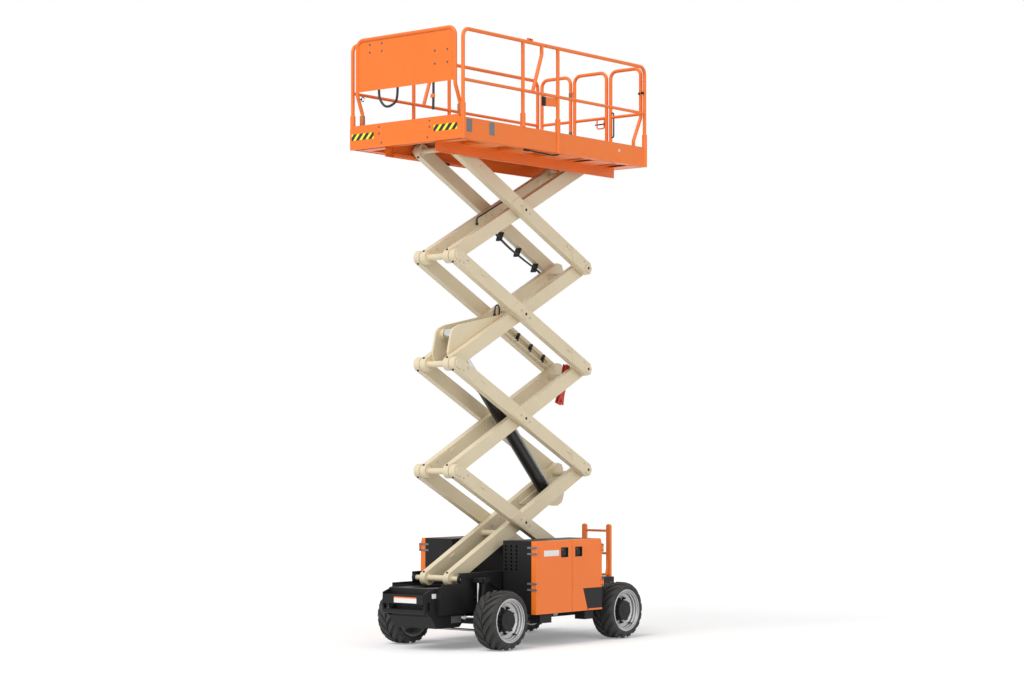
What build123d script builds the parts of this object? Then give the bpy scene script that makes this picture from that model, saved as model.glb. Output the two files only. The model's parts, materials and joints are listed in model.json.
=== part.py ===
from build123d import *
import os
from math import cos, radians, sin

# Self-propelled rough-terrain scissor lift, shown partly raised. Millimetres.
# +X is the front end, +Y the left side, +Z up. The origin is on the ground under the
# middle of the scissor stack, which is also the middle of the machine.

# ---- Scissor stack: driving dimensions ----
STAGES = 4
ARM_LENGTH = 2628.0  # pin to pin
ARM_DEPTH = 160.0
REST_ANGLE = 27.0  # degrees above level
BASE_PIN_X = -1171.0  # fixed rear end of the lowest outer arms
BASE_PIN_Z = 777.0
INNER_FACE, INNER_BACK = 133.0, 211.0  # the inner arms' two faces, from the centre plane
OUTER_FACE, OUTER_BACK = 220.0, 298.0
PIN_R = 30.0
PIN_PLAY = 0.1
PIN_HEAD_R, PIN_HEAD = 52.0, 12.0
CROSS_TUBE_R = 36.0
ROLLER_R = 50.0

# ---- Lift cylinders ----
BARREL_R, ROD_R, EYE_R = 75.0, 42.0, 62.0
BARREL_SHARE = 0.72  # of the way from the foot to the rod's eye
ROD_LENGTH = 1850.0
EYE_HALF = 50.0
EYE_PLAY = 14.0  # beside a rod's eye
GUSSET_FACE, GUSSET_BACK = 101.0, 127.0  # clear of the arms of the stages above and below
MAIN_FOOT = (2160.0, -148.0)  # along and above the lowest inner arm
MAIN_EYE = (343.0, 207.0)  # along and above the third inner arm

# ---- Wheels and axles ----
TYRE_R = 330.0
TRACK_HALF = 710.0  # centre plane to a tyre's middle
FRONT_WHEEL_X, REAR_WHEEL_X = 939.0, -1197.0
KING_PIN_Y = 575.0
STEERING_ARM, TIE_ROD_R = 130.0, 14.0

# ---- Chassis ----
FRAME_FRONT, FRAME_REAR = 1560.0, -1600.0
FRAME_HALF, FRAME_LOW, FRAME_TOP = 366.0, 400.0, 690.0
TROUGH_HALF, TROUGH_FLOOR = 105.0, 470.0
NOSE_X, NOSE_HALF, NOSE_LOW = 1640.0, 310.0, 250.0
NOSE_REAR = 1080.0
OVERALL_X = 1760.0
TRACK_FACE, TRACK_WEB = 316.0, 356.0
BOX_FRONT, BOX_REAR = 499.0, -710.0
BOX_INNER, BOX_OUTER = 380.0, 860.0
BOX_LOW, BOX_TOP = 371.0, 1187.0
WALL = 40.0
DOOR_GAP = 5.0
DOOR_SEAM = -153.0
CORNER_TOP_X, CORNER_LOW_X, CORNER_TOP_Z = -361.0, -448.0, 621.0  # the fixed rear corner
DOOR_WRAP = 70.0  # how far a door's edges return round the box
LATCH_SIZE, LATCH_DEPTH = (130.0, 112.0), 22.0
FRONT_LATCH, REAR_LATCH = (-14.0, 1050.0), (-273.0, 1050.0)
HINGE_OUT, HINGE_R, HINGE_PIN_R = 7.0, 11.0, 5.0
HINGE_ZS = (680.0, 1080.0)

# ---- Platform ----
PLATFORM_FRONT, PLATFORM_REAR, PLATFORM_HALF = 1726.0, -1626.0, 824.0
TOE_BELOW, TOE_HEIGHT, TOE_THICK = 6.0, 230.0, 24.0  # toe board's foot above the top pins
DECK_ABOVE = 102.0  # main deck's top above the top pins
DECK_THICK = 10.0
EXTENSION_LIFT = 8.0  # top of the roll-out deck above the main deck
EXTENSION_REAR = 90.0  # the roll-out deck's rear edge when closed
FRONT_TOE_RISE = 30.0  # front toe board above the side ones
RAIL_ABOVE = 1187.0  # top rail's middle above the top pins
MID_RAIL_ABOVE = 640.0
RAIL_R = 21.0
MID_RAIL_R = 18.0
RAIL_CORNER = 90.0
SLEEVE_R, SLEEVE_HEIGHT = 30.0, 150.0  # the sockets that the posts stand in
REAR_POST_X, SEAM_POST_X = -1606.0, 52.0
MIDDLE_POST_X, FRONT_POST_X = 675.0, 1692.0
MAIN_RAIL_END, ROLL_OUT_RAIL_END = 285.0, 295.0
GATE_HALF = 265.0
FIXED_POST_Y, REAR_LEG_Y = 305.0, 750.0  # the two legs of the fixed frames beside the gate
REAR_LEG_SHIFT, HOOP_LEG_SHIFT = 145.0, 80.0  # along the machine, where a leg is kinked
HOOP_Y, HOOP_RISE = 720.0, 25.0

# ---- Worked out ----
ANGLE = radians(REST_ANGLE)
RUN, PITCH = ARM_LENGTH * cos(ANGLE), ARM_LENGTH * sin(ANGLE)
FRONT_PIN_X = BASE_PIN_X + RUN
TOP_PIN_Z = BASE_PIN_Z + STAGES * PITCH
BORE_R = PIN_R + PIN_PLAY
RAIL_Y = PLATFORM_HALF - TOE_THICK / 2
TOE_LOW = TOP_PIN_Z + TOE_BELOW
TOE_TOP = TOE_LOW + TOE_HEIGHT
DECK_TOP = TOP_PIN_Z + DECK_ABOVE
DECK_LOW = DECK_TOP - DECK_THICK
TOE_IN = PLATFORM_HALF - TOE_THICK
DECK_HALF = RAIL_Y - SLEEVE_R - 2
REAR_TOE_X = PLATFORM_REAR + TOE_THICK
FRONT_RAIL_X = PLATFORM_FRONT - TOE_THICK / 2
ROLL_OUT_TOP = DECK_TOP + EXTENSION_LIFT
SLEEVE_TOP = TOE_TOP + SLEEVE_HEIGHT
GATE_X = PLATFORM_REAR + TOE_THICK / 2
GATE_HINGE_Y = -GATE_HALF - 9
DOOR_INNER = BOX_OUTER - DOOR_WRAP
SHELL_OUTER = DOOR_INNER - DOOR_GAP
HINGE_Y = BOX_OUTER + HINGE_OUT
RAIL_Z, MID_RAIL_Z = TOP_PIN_Z + RAIL_ABOVE, TOP_PIN_Z + MID_RAIL_ABOVE


def on_inner_arm(stage, along, above):
    """The x, z of a point given along and above an inner arm, from its front lower pin."""
    foot_z = BASE_PIN_Z + (stage - 1) * PITCH
    return (FRONT_PIN_X - along * cos(ANGLE) + above * sin(ANGLE),
            foot_z + along * sin(ANGLE) + above * cos(ANGLE))


MAIN_FOOT_XZ = on_inner_arm(1, *MAIN_FOOT)
MAIN_EYE_XZ = on_inner_arm(3, *MAIN_EYE)

# ==== Pieces ====
os.makedirs("parts", exist_ok=True)


def save(part, name):
    """Labels a finished piece and writes it as parts/NAME.step."""
    part.label = name
    export_step(part, f"parts/{name}.step")


def save_pair(part, name):
    """Writes a left-hand piece, and its mirror image as the right-hand one."""
    save(part, f"left_{name}")
    save(mirror(part, about=Plane.XZ), f"right_{name}")


def side_plane(y):
    """A plane across the machine at y, with local x along X and local y along Z."""
    return Plane(origin=(0, y, 0), x_dir=(1, 0, 0), z_dir=(0, -1, 0))


def inner_plane(stage, y):
    """A plane at y that runs along an inner arm from its front lower pin, facing +Y."""
    return Plane(origin=(FRONT_PIN_X, y, BASE_PIN_Z + (stage - 1) * PITCH),
                 x_dir=(-cos(ANGLE), 0, sin(ANGLE)), z_dir=(0, 1, 0))


def block(low, high, mode=Mode.ADD):
    """A box in the current part between two corners."""
    with Locations(tuple((a + b) / 2 for a, b in zip(low, high))):
        Box(*(b - a for a, b in zip(low, high)), mode=mode)


def rod(x, z, radius, y_low, y_high, mode=Mode.ADD):
    """A round bar across the machine in the current part."""
    with BuildSketch(side_plane(y_low)) as section:
        with Locations((x, z)):
            Circle(radius)
    extrude(section.sketch, amount=y_low - y_high, mode=mode)


def upright(x, y, radius, z_low, z_high, mode=Mode.ADD):
    """An upright round bar in the current part."""
    with Locations((x, y, z_low)):
        Cylinder(radius, z_high - z_low, align=(Align.CENTER, Align.CENTER, Align.MIN), mode=mode)


def tube_path(points, corner, radius=RAIL_R):
    """A bent tube in the current part through points, with rounded corners."""
    with BuildLine() as path:
        if len(points) > 2:
            FilletPolyline(*points, radius=corner)
        else:
            Line(*points)
    with BuildSketch(Plane(origin=path.line @ 0, z_dir=path.line % 0)) as section:
        Circle(radius)
    sweep(section.sketch, path=path.line)


# ---- Scissor arms ----
def arm(stage, angle, y_low, y_high):
    """One arm: round at the front end, square with clipped corners at the rear end."""
    middle = (FRONT_PIN_X - RUN / 2, BASE_PIN_Z + (stage - 0.5) * PITCH)
    half_length, half_depth = ARM_LENGTH / 2, ARM_DEPTH / 2
    rear_end = [(-half_length - along, above) for along, above in CLIPPED_END]
    with BuildSketch(side_plane(y_low)) as section:
        with Locations(Location(middle, angle)):
            with Locations((half_length, 0)):
                Circle(half_depth)
            Polygon((half_length, -half_depth), (half_length, half_depth), *reversed(rear_end),
                    align=None)
            with GridLocations(half_length, 0, 3, 1):
                Circle(BORE_R, mode=Mode.SUBTRACT)
    extrude(section.sketch, amount=y_low - y_high)


def outer_arms(stage):
    """The outer pair of one stage: rear end low, front end high."""
    with BuildPart() as arms:
        arm(stage, REST_ANGLE, OUTER_FACE, OUTER_BACK)
        mirror(about=Plane.XZ)
    save(arms.part, f"outer_arms_{stage}")


# Cross tubes as distances along the inner arm, and gusset outlines as (along, above).
HUMP = [(60, 0), (80, 105), (235, 280), (290, 305), (400, 295), (1150, 80), (1150, 0)]
CLIPPED_END = [(18, -80), (74, -36), (74, 36), (18, 80)]  # past the pin, above the middle line
FOOT_GUSSET = [(1760, 0), (2080, -195), (2120, -215), (2200, -215), (2240, -195), (2420, 0)]
INNER_STAGES = [
    # stage, cross tubes, gussets, bosses for a rod's eye
    (1, (0, 1050, 2520), (FOOT_GUSSET,), ()),
    (2, (0, 2420), (), ()),
    (3, (0, 1450, 2420), (HUMP,), (MAIN_EYE,)),
    (4, (0, 2420), (), ()),
]


def inner_arms(stage, cross_tubes, gussets, eyes):
    """The inner pair of one stage, joined by cross tubes, with its cylinder gussets."""
    with BuildPart() as arms:
        arm(stage, -REST_ANGLE, INNER_FACE, INNER_BACK)
        for outline in gussets:
            with BuildSketch(inner_plane(stage, GUSSET_FACE)):
                with BuildLine():
                    Polyline(*outline, close=True)
                make_face()
            extrude(amount=GUSSET_BACK - GUSSET_FACE)
            start, end = outline[0][0], outline[-1][0]
            with BuildSketch(inner_plane(stage, GUSSET_BACK)):
                with Locations(((start + end) / 2, 0)):
                    Rectangle(end - start, ARM_DEPTH - 50)
            extrude(amount=INNER_FACE - GUSSET_BACK)
        for eye in eyes:
            rod(*on_inner_arm(stage, *eye), EYE_R, EYE_HALF + EYE_PLAY, GUSSET_FACE)
        mirror(about=Plane.XZ)
        for along in cross_tubes:
            rod(*on_inner_arm(stage, along, 0), CROSS_TUBE_R, -INNER_FACE, INNER_FACE)
    save(arms.part, f"inner_arms_{stage}")


def pivot_pins(stage):
    """The pins that one inner pair carries: both ends and the middle, on each side.

    The first stage also carries the pin through the main cylinder's foot.
    """
    pin_start, front_end = INNER_FACE + PIN_PLAY, OUTER_BACK + 1
    places = [
        # along the arm, inner end, start of the head
        (0, pin_start, TRACK_FACE - 14 if stage == 1 else front_end),
        (ARM_LENGTH / 2, pin_start, front_end),
        (ARM_LENGTH, 98 if stage == STAGES else pin_start, 246 if stage == STAGES else front_end),
    ]
    with BuildPart() as pins:
        for along, inner_end, head_start in places:
            x, z = on_inner_arm(stage, along, 0)
            head_end = head_start + PIN_HEAD
            rod(x, z, PIN_R, inner_end, head_start)
            if stage == 1 and along == 0:
                rod(x, z, PIN_R, head_start, TRACK_WEB - 2)
            else:
                rod(x, z, PIN_HEAD_R, head_start, head_end)
        mirror(about=Plane.XZ)
        if stage == 1:
            rod(*MAIN_FOOT_XZ, PIN_R, -GUSSET_FACE, GUSSET_FACE)
    save(pins.part, f"pivot_pins_{stage}")


for stage in range(1, STAGES + 1):
    outer_arms(stage)
    pivot_pins(stage)
for row in INNER_STAGES:
    inner_arms(*row)

# The rollers that carry the lowest inner arms along the chassis track.
with BuildPart() as rollers:
    rod(FRONT_PIN_X, BASE_PIN_Z, ROLLER_R, TRACK_FACE + 2, TRACK_WEB - 4)
    rod(FRONT_PIN_X, BASE_PIN_Z, BORE_R, TRACK_FACE + 2, TRACK_WEB - 4, mode=Mode.SUBTRACT)
    mirror(about=Plane.XZ)
save(rollers.part, "track_rollers")

# The cross shaft through the front upper ends of the top outer arms, with its rollers.
with BuildPart() as slide_shaft:
    rod(FRONT_PIN_X, TOP_PIN_Z, ROLLER_R, TRACK_FACE + 2, TRACK_WEB - 4)
    mirror(about=Plane.XZ)
    rod(FRONT_PIN_X, TOP_PIN_Z, PIN_R, -TRACK_FACE - 2, TRACK_FACE + 2)
save(slide_shaft.part, "top_slide_shaft")


# ---- Lift cylinders ----
def cylinder_plane(foot, eye):
    """A plane through the cylinder's foot with its normal towards the rod's eye."""
    return Plane(origin=(foot[0], 0, foot[1]), x_dir=(0, 1, 0),
                 z_dir=(eye[0] - foot[0], 0, eye[1] - foot[1]))


def lift_cylinder(name, foot, eye):
    """A barrel pinned at its foot, and a rod whose eye stands free at the far end."""
    length = ((eye[0] - foot[0]) ** 2 + (eye[1] - foot[1]) ** 2) ** 0.5
    barrel_end, rod_start = length * BARREL_SHARE, length - ROD_LENGTH
    plane = cylinder_plane(foot, eye)
    with BuildPart() as barrel:
        with BuildSketch(plane.offset(40)):
            Circle(BARREL_R)
        extrude(amount=barrel_end - 40)
        with BuildSketch(plane.offset(barrel_end - 70)):
            Circle(BARREL_R + 8)
        extrude(amount=60)
        rod(*foot, EYE_R, -EYE_HALF, EYE_HALF)
        rod(*foot, BORE_R, -BARREL_R, BARREL_R, mode=Mode.SUBTRACT)
        with BuildSketch(plane.offset(90)):
            Circle(ROD_R + 0.5)
        extrude(amount=length, mode=Mode.SUBTRACT)
    save(barrel.part, f"{name}_cylinder_barrel")
    with BuildPart() as piston_rod:
        with BuildSketch(plane.offset(rod_start)):
            Circle(ROD_R)
        extrude(amount=ROD_LENGTH)
        rod(*eye, EYE_R, -EYE_HALF, EYE_HALF)
        rod(*eye, BORE_R, -EYE_HALF, EYE_HALF, mode=Mode.SUBTRACT)
    save(piston_rod.part, f"{name}_cylinder_rod")


lift_cylinder("main", MAIN_FOOT_XZ, MAIN_EYE_XZ)

# ---- Chassis ----
with BuildPart() as frame:
    block((FRAME_REAR, -FRAME_HALF, FRAME_LOW), (FRAME_FRONT, FRAME_HALF, FRAME_TOP))
    with BuildSketch(side_plane(-NOSE_HALF)) as nose:
        with BuildLine():
            Polyline((NOSE_REAR, FRAME_TOP), (NOSE_REAR, 330), (NOSE_REAR + 90, NOSE_LOW),
                     (NOSE_X - 90, NOSE_LOW), (NOSE_X, NOSE_LOW + 130), (NOSE_X, FRAME_TOP), close=True)
        make_face()
    extrude(nose.sketch, amount=-2 * NOSE_HALF)
    for x_low, x_high in ((-1160, -240), (-160, 1500)):
        block((x_low, -TROUGH_HALF, TROUGH_FLOOR), (x_high, TROUGH_HALF, FRAME_TOP), mode=Mode.SUBTRACT)
    for y_low, y_high in ((TROUGH_HALF + 45, FRAME_HALF - 20), (20 - FRAME_HALF, -TROUGH_HALF - 45)):
        block((-1080, y_low, FRAME_LOW), (900, y_high, FRAME_TOP - 60), mode=Mode.SUBTRACT)
save(frame.part, "chassis_frame")

# The ears that carry the fixed rear ends of the lowest outer arms, with their pins.
with BuildPart() as base:
    for y_low, y_high in ((188, 212), (306, 330)):
        block((BASE_PIN_X - 60, y_low, FRAME_TOP), (BASE_PIN_X + 60, y_high, BASE_PIN_Z))
        rod(BASE_PIN_X, BASE_PIN_Z, 60, y_low, y_high)
    rod(BASE_PIN_X, BASE_PIN_Z, PIN_R, 188, 330)
    mirror(about=Plane.XZ)
save(base.part, "base_brackets")


def slide_track(name, centre_z, floor_z, x_low, x_high):
    """A channel on each side, open towards the arms, for the rollers."""
    gap_low, gap_high = centre_z - ROLLER_R - 2, centre_z + ROLLER_R + 2
    with BuildPart() as track:
        block((x_low, TRACK_FACE, floor_z), (x_high, TRACK_WEB + 10, gap_low))
        block((x_low, TRACK_WEB, gap_low), (x_high, TRACK_WEB + 10, gap_high))
        block((x_low, TRACK_FACE, gap_high), (x_high, TRACK_WEB + 10, gap_high + 16))
        mirror(about=Plane.XZ)
    save(track.part, name)


slide_track("chassis_track", BASE_PIN_Z, FRAME_TOP, 50, 1530)

# The front bumper: a beam over a tube, between end plates slotted in line with the lashing lugs.
FRONT_LUG_X, FRONT_LUG_Z = NOSE_X + 36, 495.0
END_PLATE = [(NOSE_X, NOSE_LOW + 130), (OVERALL_X - 10, 430), (OVERALL_X - 10, 644), (NOSE_X, 680)]
with BuildPart() as bumper:
    rod(OVERALL_X - 34, 440, 26, -NOSE_HALF + 10, NOSE_HALF - 10)
    block((OVERALL_X - 45, -NOSE_HALF + 10, 522), (OVERALL_X, NOSE_HALF - 10, 622))
    for y in (-NOSE_HALF, NOSE_HALF - 16):
        with BuildSketch(side_plane(y)) as end_plate:
            with BuildLine():
                Polyline(*END_PLATE, close=True)
            make_face()
            with Locations(Location((FRONT_LUG_X, FRONT_LUG_Z), 90)):
                SlotOverall(110, 52, mode=Mode.SUBTRACT)
        extrude(end_plate.sketch, amount=-16)
save(bumper.part, "front_bumper")

# Lashing lugs at the four corners, with a bore across the machine.
LUG_R, LUG_BORE_R, LUG_THICK = 34.0, 20.0, 20.0
with BuildPart() as lugs:
    for x, root_x, z in ((FRONT_LUG_X, NOSE_X, FRONT_LUG_Z), (FRAME_REAR - 60, FRAME_REAR, 600)):
        y_low = NOSE_HALF - 80
        rod(x, z, LUG_R, y_low, y_low + LUG_THICK)
        block((min(x, root_x), y_low, z - LUG_R), (max(x, root_x), y_low + LUG_THICK, z + 20))
        rod(x, z, LUG_BORE_R, y_low, y_low + LUG_THICK, mode=Mode.SUBTRACT)
    mirror(about=Plane.XZ)
save(lugs.part, "tie_down_lugs")

# The ladder at the rear end, on its step.
LADDER_HALF, LADDER_FOOT, LADDER_TOP = 190.0, 660.0, 1310.0
POST_X, POST_R, RUNG_R = -OVERALL_X + 24, 24.0, 15.0
with BuildPart() as ladder:
    for y in (-LADDER_HALF, LADDER_HALF):
        upright(POST_X, y, POST_R, LADDER_FOOT, LADDER_TOP)
    for z in (700, 957, 1229):
        rod(POST_X, z, RUNG_R, -LADDER_HALF, LADDER_HALF)
save(ladder.part, "access_ladder")
with BuildPart() as step:
    block((-OVERALL_X, -LADDER_HALF - 40, LADDER_FOOT - 40), (FRAME_REAR, LADDER_HALF + 40, LADDER_FOOT))
    for y in (-LADDER_HALF, LADDER_HALF):
        block((-OVERALL_X, y - 40, 420), (-OVERALL_X + 48, y + 40, LADDER_FOOT - 40))
        block((-OVERALL_X + 48, y - 12, 440), (FRAME_REAR, y + 12, 500))
    block((-OVERALL_X, -LADDER_HALF, 430), (-OVERALL_X + 48, LADDER_HALF, 455))
save(step.part, "ladder_step")

# ---- Axles, knuckles and wheels ----
AXLE_R, EYE_Z_HALF, HUB_R = 60.0, 55.0, 95.0
SPINDLE_END = 110.0  # past the wheel's middle
with BuildPart() as front_axle:
    rod(FRONT_WHEEL_X, TYRE_R, AXLE_R, -KING_PIN_Y + 50, KING_PIN_Y - 50)
    block((FRONT_WHEEL_X - 90, -220, TYRE_R), (FRONT_WHEEL_X + 90, 220, FRAME_LOW))
    with Locations((FRONT_WHEEL_X, KING_PIN_Y, TYRE_R), (FRONT_WHEEL_X, -KING_PIN_Y, TYRE_R)):
        Cylinder(50, 2 * EYE_Z_HALF)
        Cylinder(BORE_R, 2 * EYE_Z_HALF, mode=Mode.SUBTRACT)
save(front_axle.part, "front_axle")
with BuildPart() as rear_axle:
    rod(REAR_WHEEL_X, TYRE_R, 68, -640, 640)
    rod(REAR_WHEEL_X, TYRE_R, PIN_R, -TRACK_HALF - SPINDLE_END, TRACK_HALF + SPINDLE_END)
    block((REAR_WHEEL_X - 110, -300, TYRE_R), (REAR_WHEEL_X + 110, 300, FRAME_LOW))
save(rear_axle.part, "rear_axle")

# The upright cylinders that steady the front axle.
FLOAT_Y, FLOAT_TOP = 462.0, 790.0
with BuildPart() as floats:
    rod(FRONT_WHEEL_X, FLOAT_TOP - 36, 36, FLOAT_Y - 62, FLOAT_Y + 40)
    upright(FRONT_WHEEL_X, FLOAT_Y, 30, 470, FLOAT_TOP - 36)
    upright(FRONT_WHEEL_X, FLOAT_Y, 16, TYRE_R + AXLE_R + 0.2, 470)
    block((FRONT_WHEEL_X - 40, FRAME_HALF, 560), (FRONT_WHEEL_X + 40, FLOAT_Y - 10, 600))
    block((FRONT_WHEEL_X - 8, FRAME_HALF, 600), (FRONT_WHEEL_X + 8, FLOAT_Y - 20, 700))
save_pair(floats.part, "axle_cylinder")

with BuildPart() as knuckle:
    with Locations((FRONT_WHEEL_X, KING_PIN_Y, TYRE_R)):
        Cylinder(PIN_R, 230)
    for z in (TYRE_R - 100, TYRE_R + 100):
        block((FRONT_WHEEL_X - 45, KING_PIN_Y - 45, z - 30), (FRONT_WHEEL_X + 45, KING_PIN_Y + 85, z + 30))
    block((FRONT_WHEEL_X - 90, KING_PIN_Y + 60, TYRE_R - 130),
          (FRONT_WHEEL_X + 90, KING_PIN_Y + 85, TYRE_R + 130))
    block((FRONT_WHEEL_X - STEERING_ARM, KING_PIN_Y - 20, TYRE_R - 125),
          (FRONT_WHEEL_X, KING_PIN_Y + 20, TYRE_R - 105))
    rod(FRONT_WHEEL_X, TYRE_R, PIN_R, KING_PIN_Y + 80, TRACK_HALF + SPINDLE_END)
save_pair(knuckle.part, "steering_knuckle")

with BuildPart() as tie_rod:
    rod(FRONT_WHEEL_X - STEERING_ARM + 20, TYRE_R - 125.5 - TIE_ROD_R, TIE_ROD_R, -KING_PIN_Y + 10, KING_PIN_Y - 10)
save(tie_rod.part, "steering_tie_rod")

# Half sections of a wheel about its axle: (distance from the wheel's middle plane, radius).
BEAD_R, WELL_R = 245.0, 222.0
TYRE_SECTION = [(-140, BEAD_R), (-150, 285), (-125, 318), (-95, TYRE_R), (95, TYRE_R), (125, 318),
                (150, 285), (140, BEAD_R)]
RIM_SECTION = [(-145, WELL_R), (-145, BEAD_R - 1), (145, BEAD_R - 1), (145, WELL_R), (40, WELL_R - 12),
               (40, 150), (60, HUB_R), (115, HUB_R), (125, 85), (125, 0), (118, 0), (118, BORE_R),
               (-25, BORE_R), (-25, 80), (0, HUB_R), (30, HUB_R), (10, 150), (15, WELL_R - 12)]


def wheel_piece(section, x):
    """Turns a half section about the axle of the left wheel at x."""
    middle = Plane(origin=(x, TRACK_HALF, TYRE_R), x_dir=(0, 1, 0), z_dir=(1, 0, 0))
    with BuildPart() as piece:
        with BuildSketch(middle):
            with BuildLine():
                Polyline(*section, close=True)
            make_face()
        revolve(axis=Axis((x, TRACK_HALF, TYRE_R), (0, 1, 0)))
    return piece.part


for end, wheel_x in (("front", FRONT_WHEEL_X), ("rear", REAR_WHEEL_X)):
    save_pair(wheel_piece(TYRE_SECTION, wheel_x), f"{end}_tyre")
    save_pair(wheel_piece(RIM_SECTION, wheel_x), f"{end}_rim")

# ---- Side boxes and their doors ----


def door_hinge_ears(hinge_x, outward):
    """The ears and pins on a side box that carry a door along one upright edge."""
    edge_x = hinge_x - outward * HINGE_OUT
    tip_x, clear_x = hinge_x + outward * HINGE_R, edge_x + outward * 3
    for z in HINGE_ZS:
        for z_low in (z - 42, z + 22):
            block((min(edge_x, tip_x), SHELL_OUTER - 60, z_low),
                  (max(edge_x, tip_x), SHELL_OUTER, z_low + 20))
            block((min(clear_x, tip_x), SHELL_OUTER, z_low),
                  (max(clear_x, tip_x), HINGE_Y + HINGE_R, z_low + 20))
        upright(hinge_x, HINGE_Y, HINGE_PIN_R, z - 40, z + 40)


def door_hinge_lugs(hinge_x, outward):
    """The bored lugs on a door that turn on the hinge pins."""
    root_x, tip_x = hinge_x - outward * (HINGE_OUT + 30), hinge_x + outward * HINGE_R
    for z in HINGE_ZS:
        block((min(root_x, tip_x), BOX_OUTER, z - 21), (max(root_x, tip_x), HINGE_Y + HINGE_R, z + 21))
        upright(hinge_x, HINGE_Y, HINGE_PIN_R + PIN_PLAY, z - 21, z + 21, mode=Mode.SUBTRACT)


def door_tray(outline, latch):
    """A door in the current part: a panel with a flange all round and a latch pocket."""
    with BuildSketch(side_plane(DOOR_INNER)) as face:
        with BuildLine():
            Polyline(*outline, close=True)
        make_face()
    extrude(face.sketch, amount=-DOOR_WRAP)
    with BuildSketch(side_plane(DOOR_INNER)) as hollow:
        with BuildLine():
            Polyline(*outline, close=True)
        make_face()
        offset(amount=-WALL, kind=Kind.INTERSECTION)
    extrude(hollow.sketch, amount=WALL - DOOR_WRAP, mode=Mode.SUBTRACT)
    (x, z), (width, height) = latch, LATCH_SIZE
    block((x - width / 2, BOX_OUTER - LATCH_DEPTH, z - height / 2),
          (x + width / 2, BOX_OUTER, z + height / 2), mode=Mode.SUBTRACT)


FRONT_HINGE_X, REAR_HINGE_X = BOX_FRONT + HINGE_OUT, BOX_REAR - HINGE_OUT
FRONT_DOOR = [(DOOR_SEAM + 3, BOX_LOW), (BOX_FRONT, BOX_LOW), (BOX_FRONT, BOX_TOP),
              (DOOR_SEAM + 3, BOX_TOP)]
REAR_DOOR = [(CORNER_LOW_X + DOOR_GAP, BOX_LOW), (DOOR_SEAM - 3, BOX_LOW), (DOOR_SEAM - 3, BOX_TOP),
             (BOX_REAR, BOX_TOP), (BOX_REAR, CORNER_TOP_Z + DOOR_GAP),
             (CORNER_TOP_X + DOOR_GAP, CORNER_TOP_Z + DOOR_GAP)]
with BuildPart() as side_box:
    block((BOX_REAR, BOX_INNER, BOX_LOW), (BOX_FRONT, SHELL_OUTER, BOX_TOP))
    block((BOX_REAR + WALL, BOX_INNER + WALL, BOX_LOW + WALL), (BOX_FRONT - WALL, BOX_OUTER, BOX_TOP - WALL),
          mode=Mode.SUBTRACT)
    with BuildSketch(side_plane(SHELL_OUTER - WALL)) as corner:
        with BuildLine():
            Polyline((BOX_REAR, BOX_LOW), (CORNER_LOW_X, BOX_LOW), (CORNER_TOP_X, CORNER_TOP_Z),
                     (BOX_REAR, CORNER_TOP_Z), close=True)
        make_face()
    extrude(corner.sketch, amount=SHELL_OUTER - WALL - BOX_OUTER + 2)
    block((-300, FRAME_HALF, 450), (300, BOX_INNER, 650))
    door_hinge_ears(FRONT_HINGE_X, 1)
    door_hinge_ears(REAR_HINGE_X, -1)
save_pair(side_box.part, "side_box")
with BuildPart() as front_door:
    door_tray(FRONT_DOOR, FRONT_LATCH)
    door_hinge_lugs(FRONT_HINGE_X, 1)
save_pair(front_door.part, "front_door")
with BuildPart() as rear_door:
    door_tray(REAR_DOOR, REAR_LATCH)
    door_hinge_lugs(REAR_HINGE_X, -1)
save_pair(rear_door.part, "rear_door")
with BuildPart() as engine:
    block((-560, BOX_INNER + WALL, BOX_LOW + WALL), (120, BOX_INNER + WALL + 320, 900))
save(engine.part, "engine")

# ---- Platform ----
BEAM_LOW = TOE_LOW + 4
RIB_XS = (-1560, -1250, -940, -630, -320, -10, 300, 610, 920, 1230, 1600)
with BuildPart() as platform_frame:
    for y_low, y_high in ((TRACK_WEB + 10, TRACK_WEB + 90), (DECK_HALF - 60, DECK_HALF)):
        block((-1590, y_low, BEAM_LOW), (1640, y_high, DECK_LOW))
    for x in RIB_XS:
        block((x, TRACK_WEB + 10, BEAM_LOW), (x + 40, DECK_HALF, DECK_LOW))
    mirror(about=Plane.XZ)
    for x_low, x_high in ((-1590, -1520), (1600, 1640)):
        block((x_low, -TRACK_WEB - 10, BEAM_LOW), (x_high, TRACK_WEB + 10, DECK_LOW))
save(platform_frame.part, "platform_frame")
slide_track("platform_track", TOP_PIN_Z, TOP_PIN_Z - 86, 50, 1530)

# The ears that hang from the deck and carry the fixed rear ends of the top inner arms.
with BuildPart() as top_brackets:
    for y_low, y_high in ((98, 120), (222, 244)):
        block((BASE_PIN_X - 60, y_low, TOP_PIN_Z), (BASE_PIN_X + 60, y_high, DECK_LOW))
        rod(BASE_PIN_X, TOP_PIN_Z, 60, y_low, y_high)
        rod(BASE_PIN_X, TOP_PIN_Z, BORE_R, y_low, y_high, mode=Mode.SUBTRACT)
    mirror(about=Plane.XZ)
save(top_brackets.part, "top_brackets")
with BuildPart() as main_deck:
    block((REAR_TOE_X, -DECK_HALF, DECK_LOW), (1640, DECK_HALF, DECK_TOP))
save(main_deck.part, "main_deck")



def sleeves(places, z_low, z_floor, z_top):
    """Sockets at the (x, y) places in the current part, bored down to z_floor."""
    for x, y in places:
        upright(x, y, SLEEVE_R, z_low, z_top)
        upright(x, y, RAIL_R + PIN_PLAY, z_floor, z_top, mode=Mode.SUBTRACT)


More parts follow.
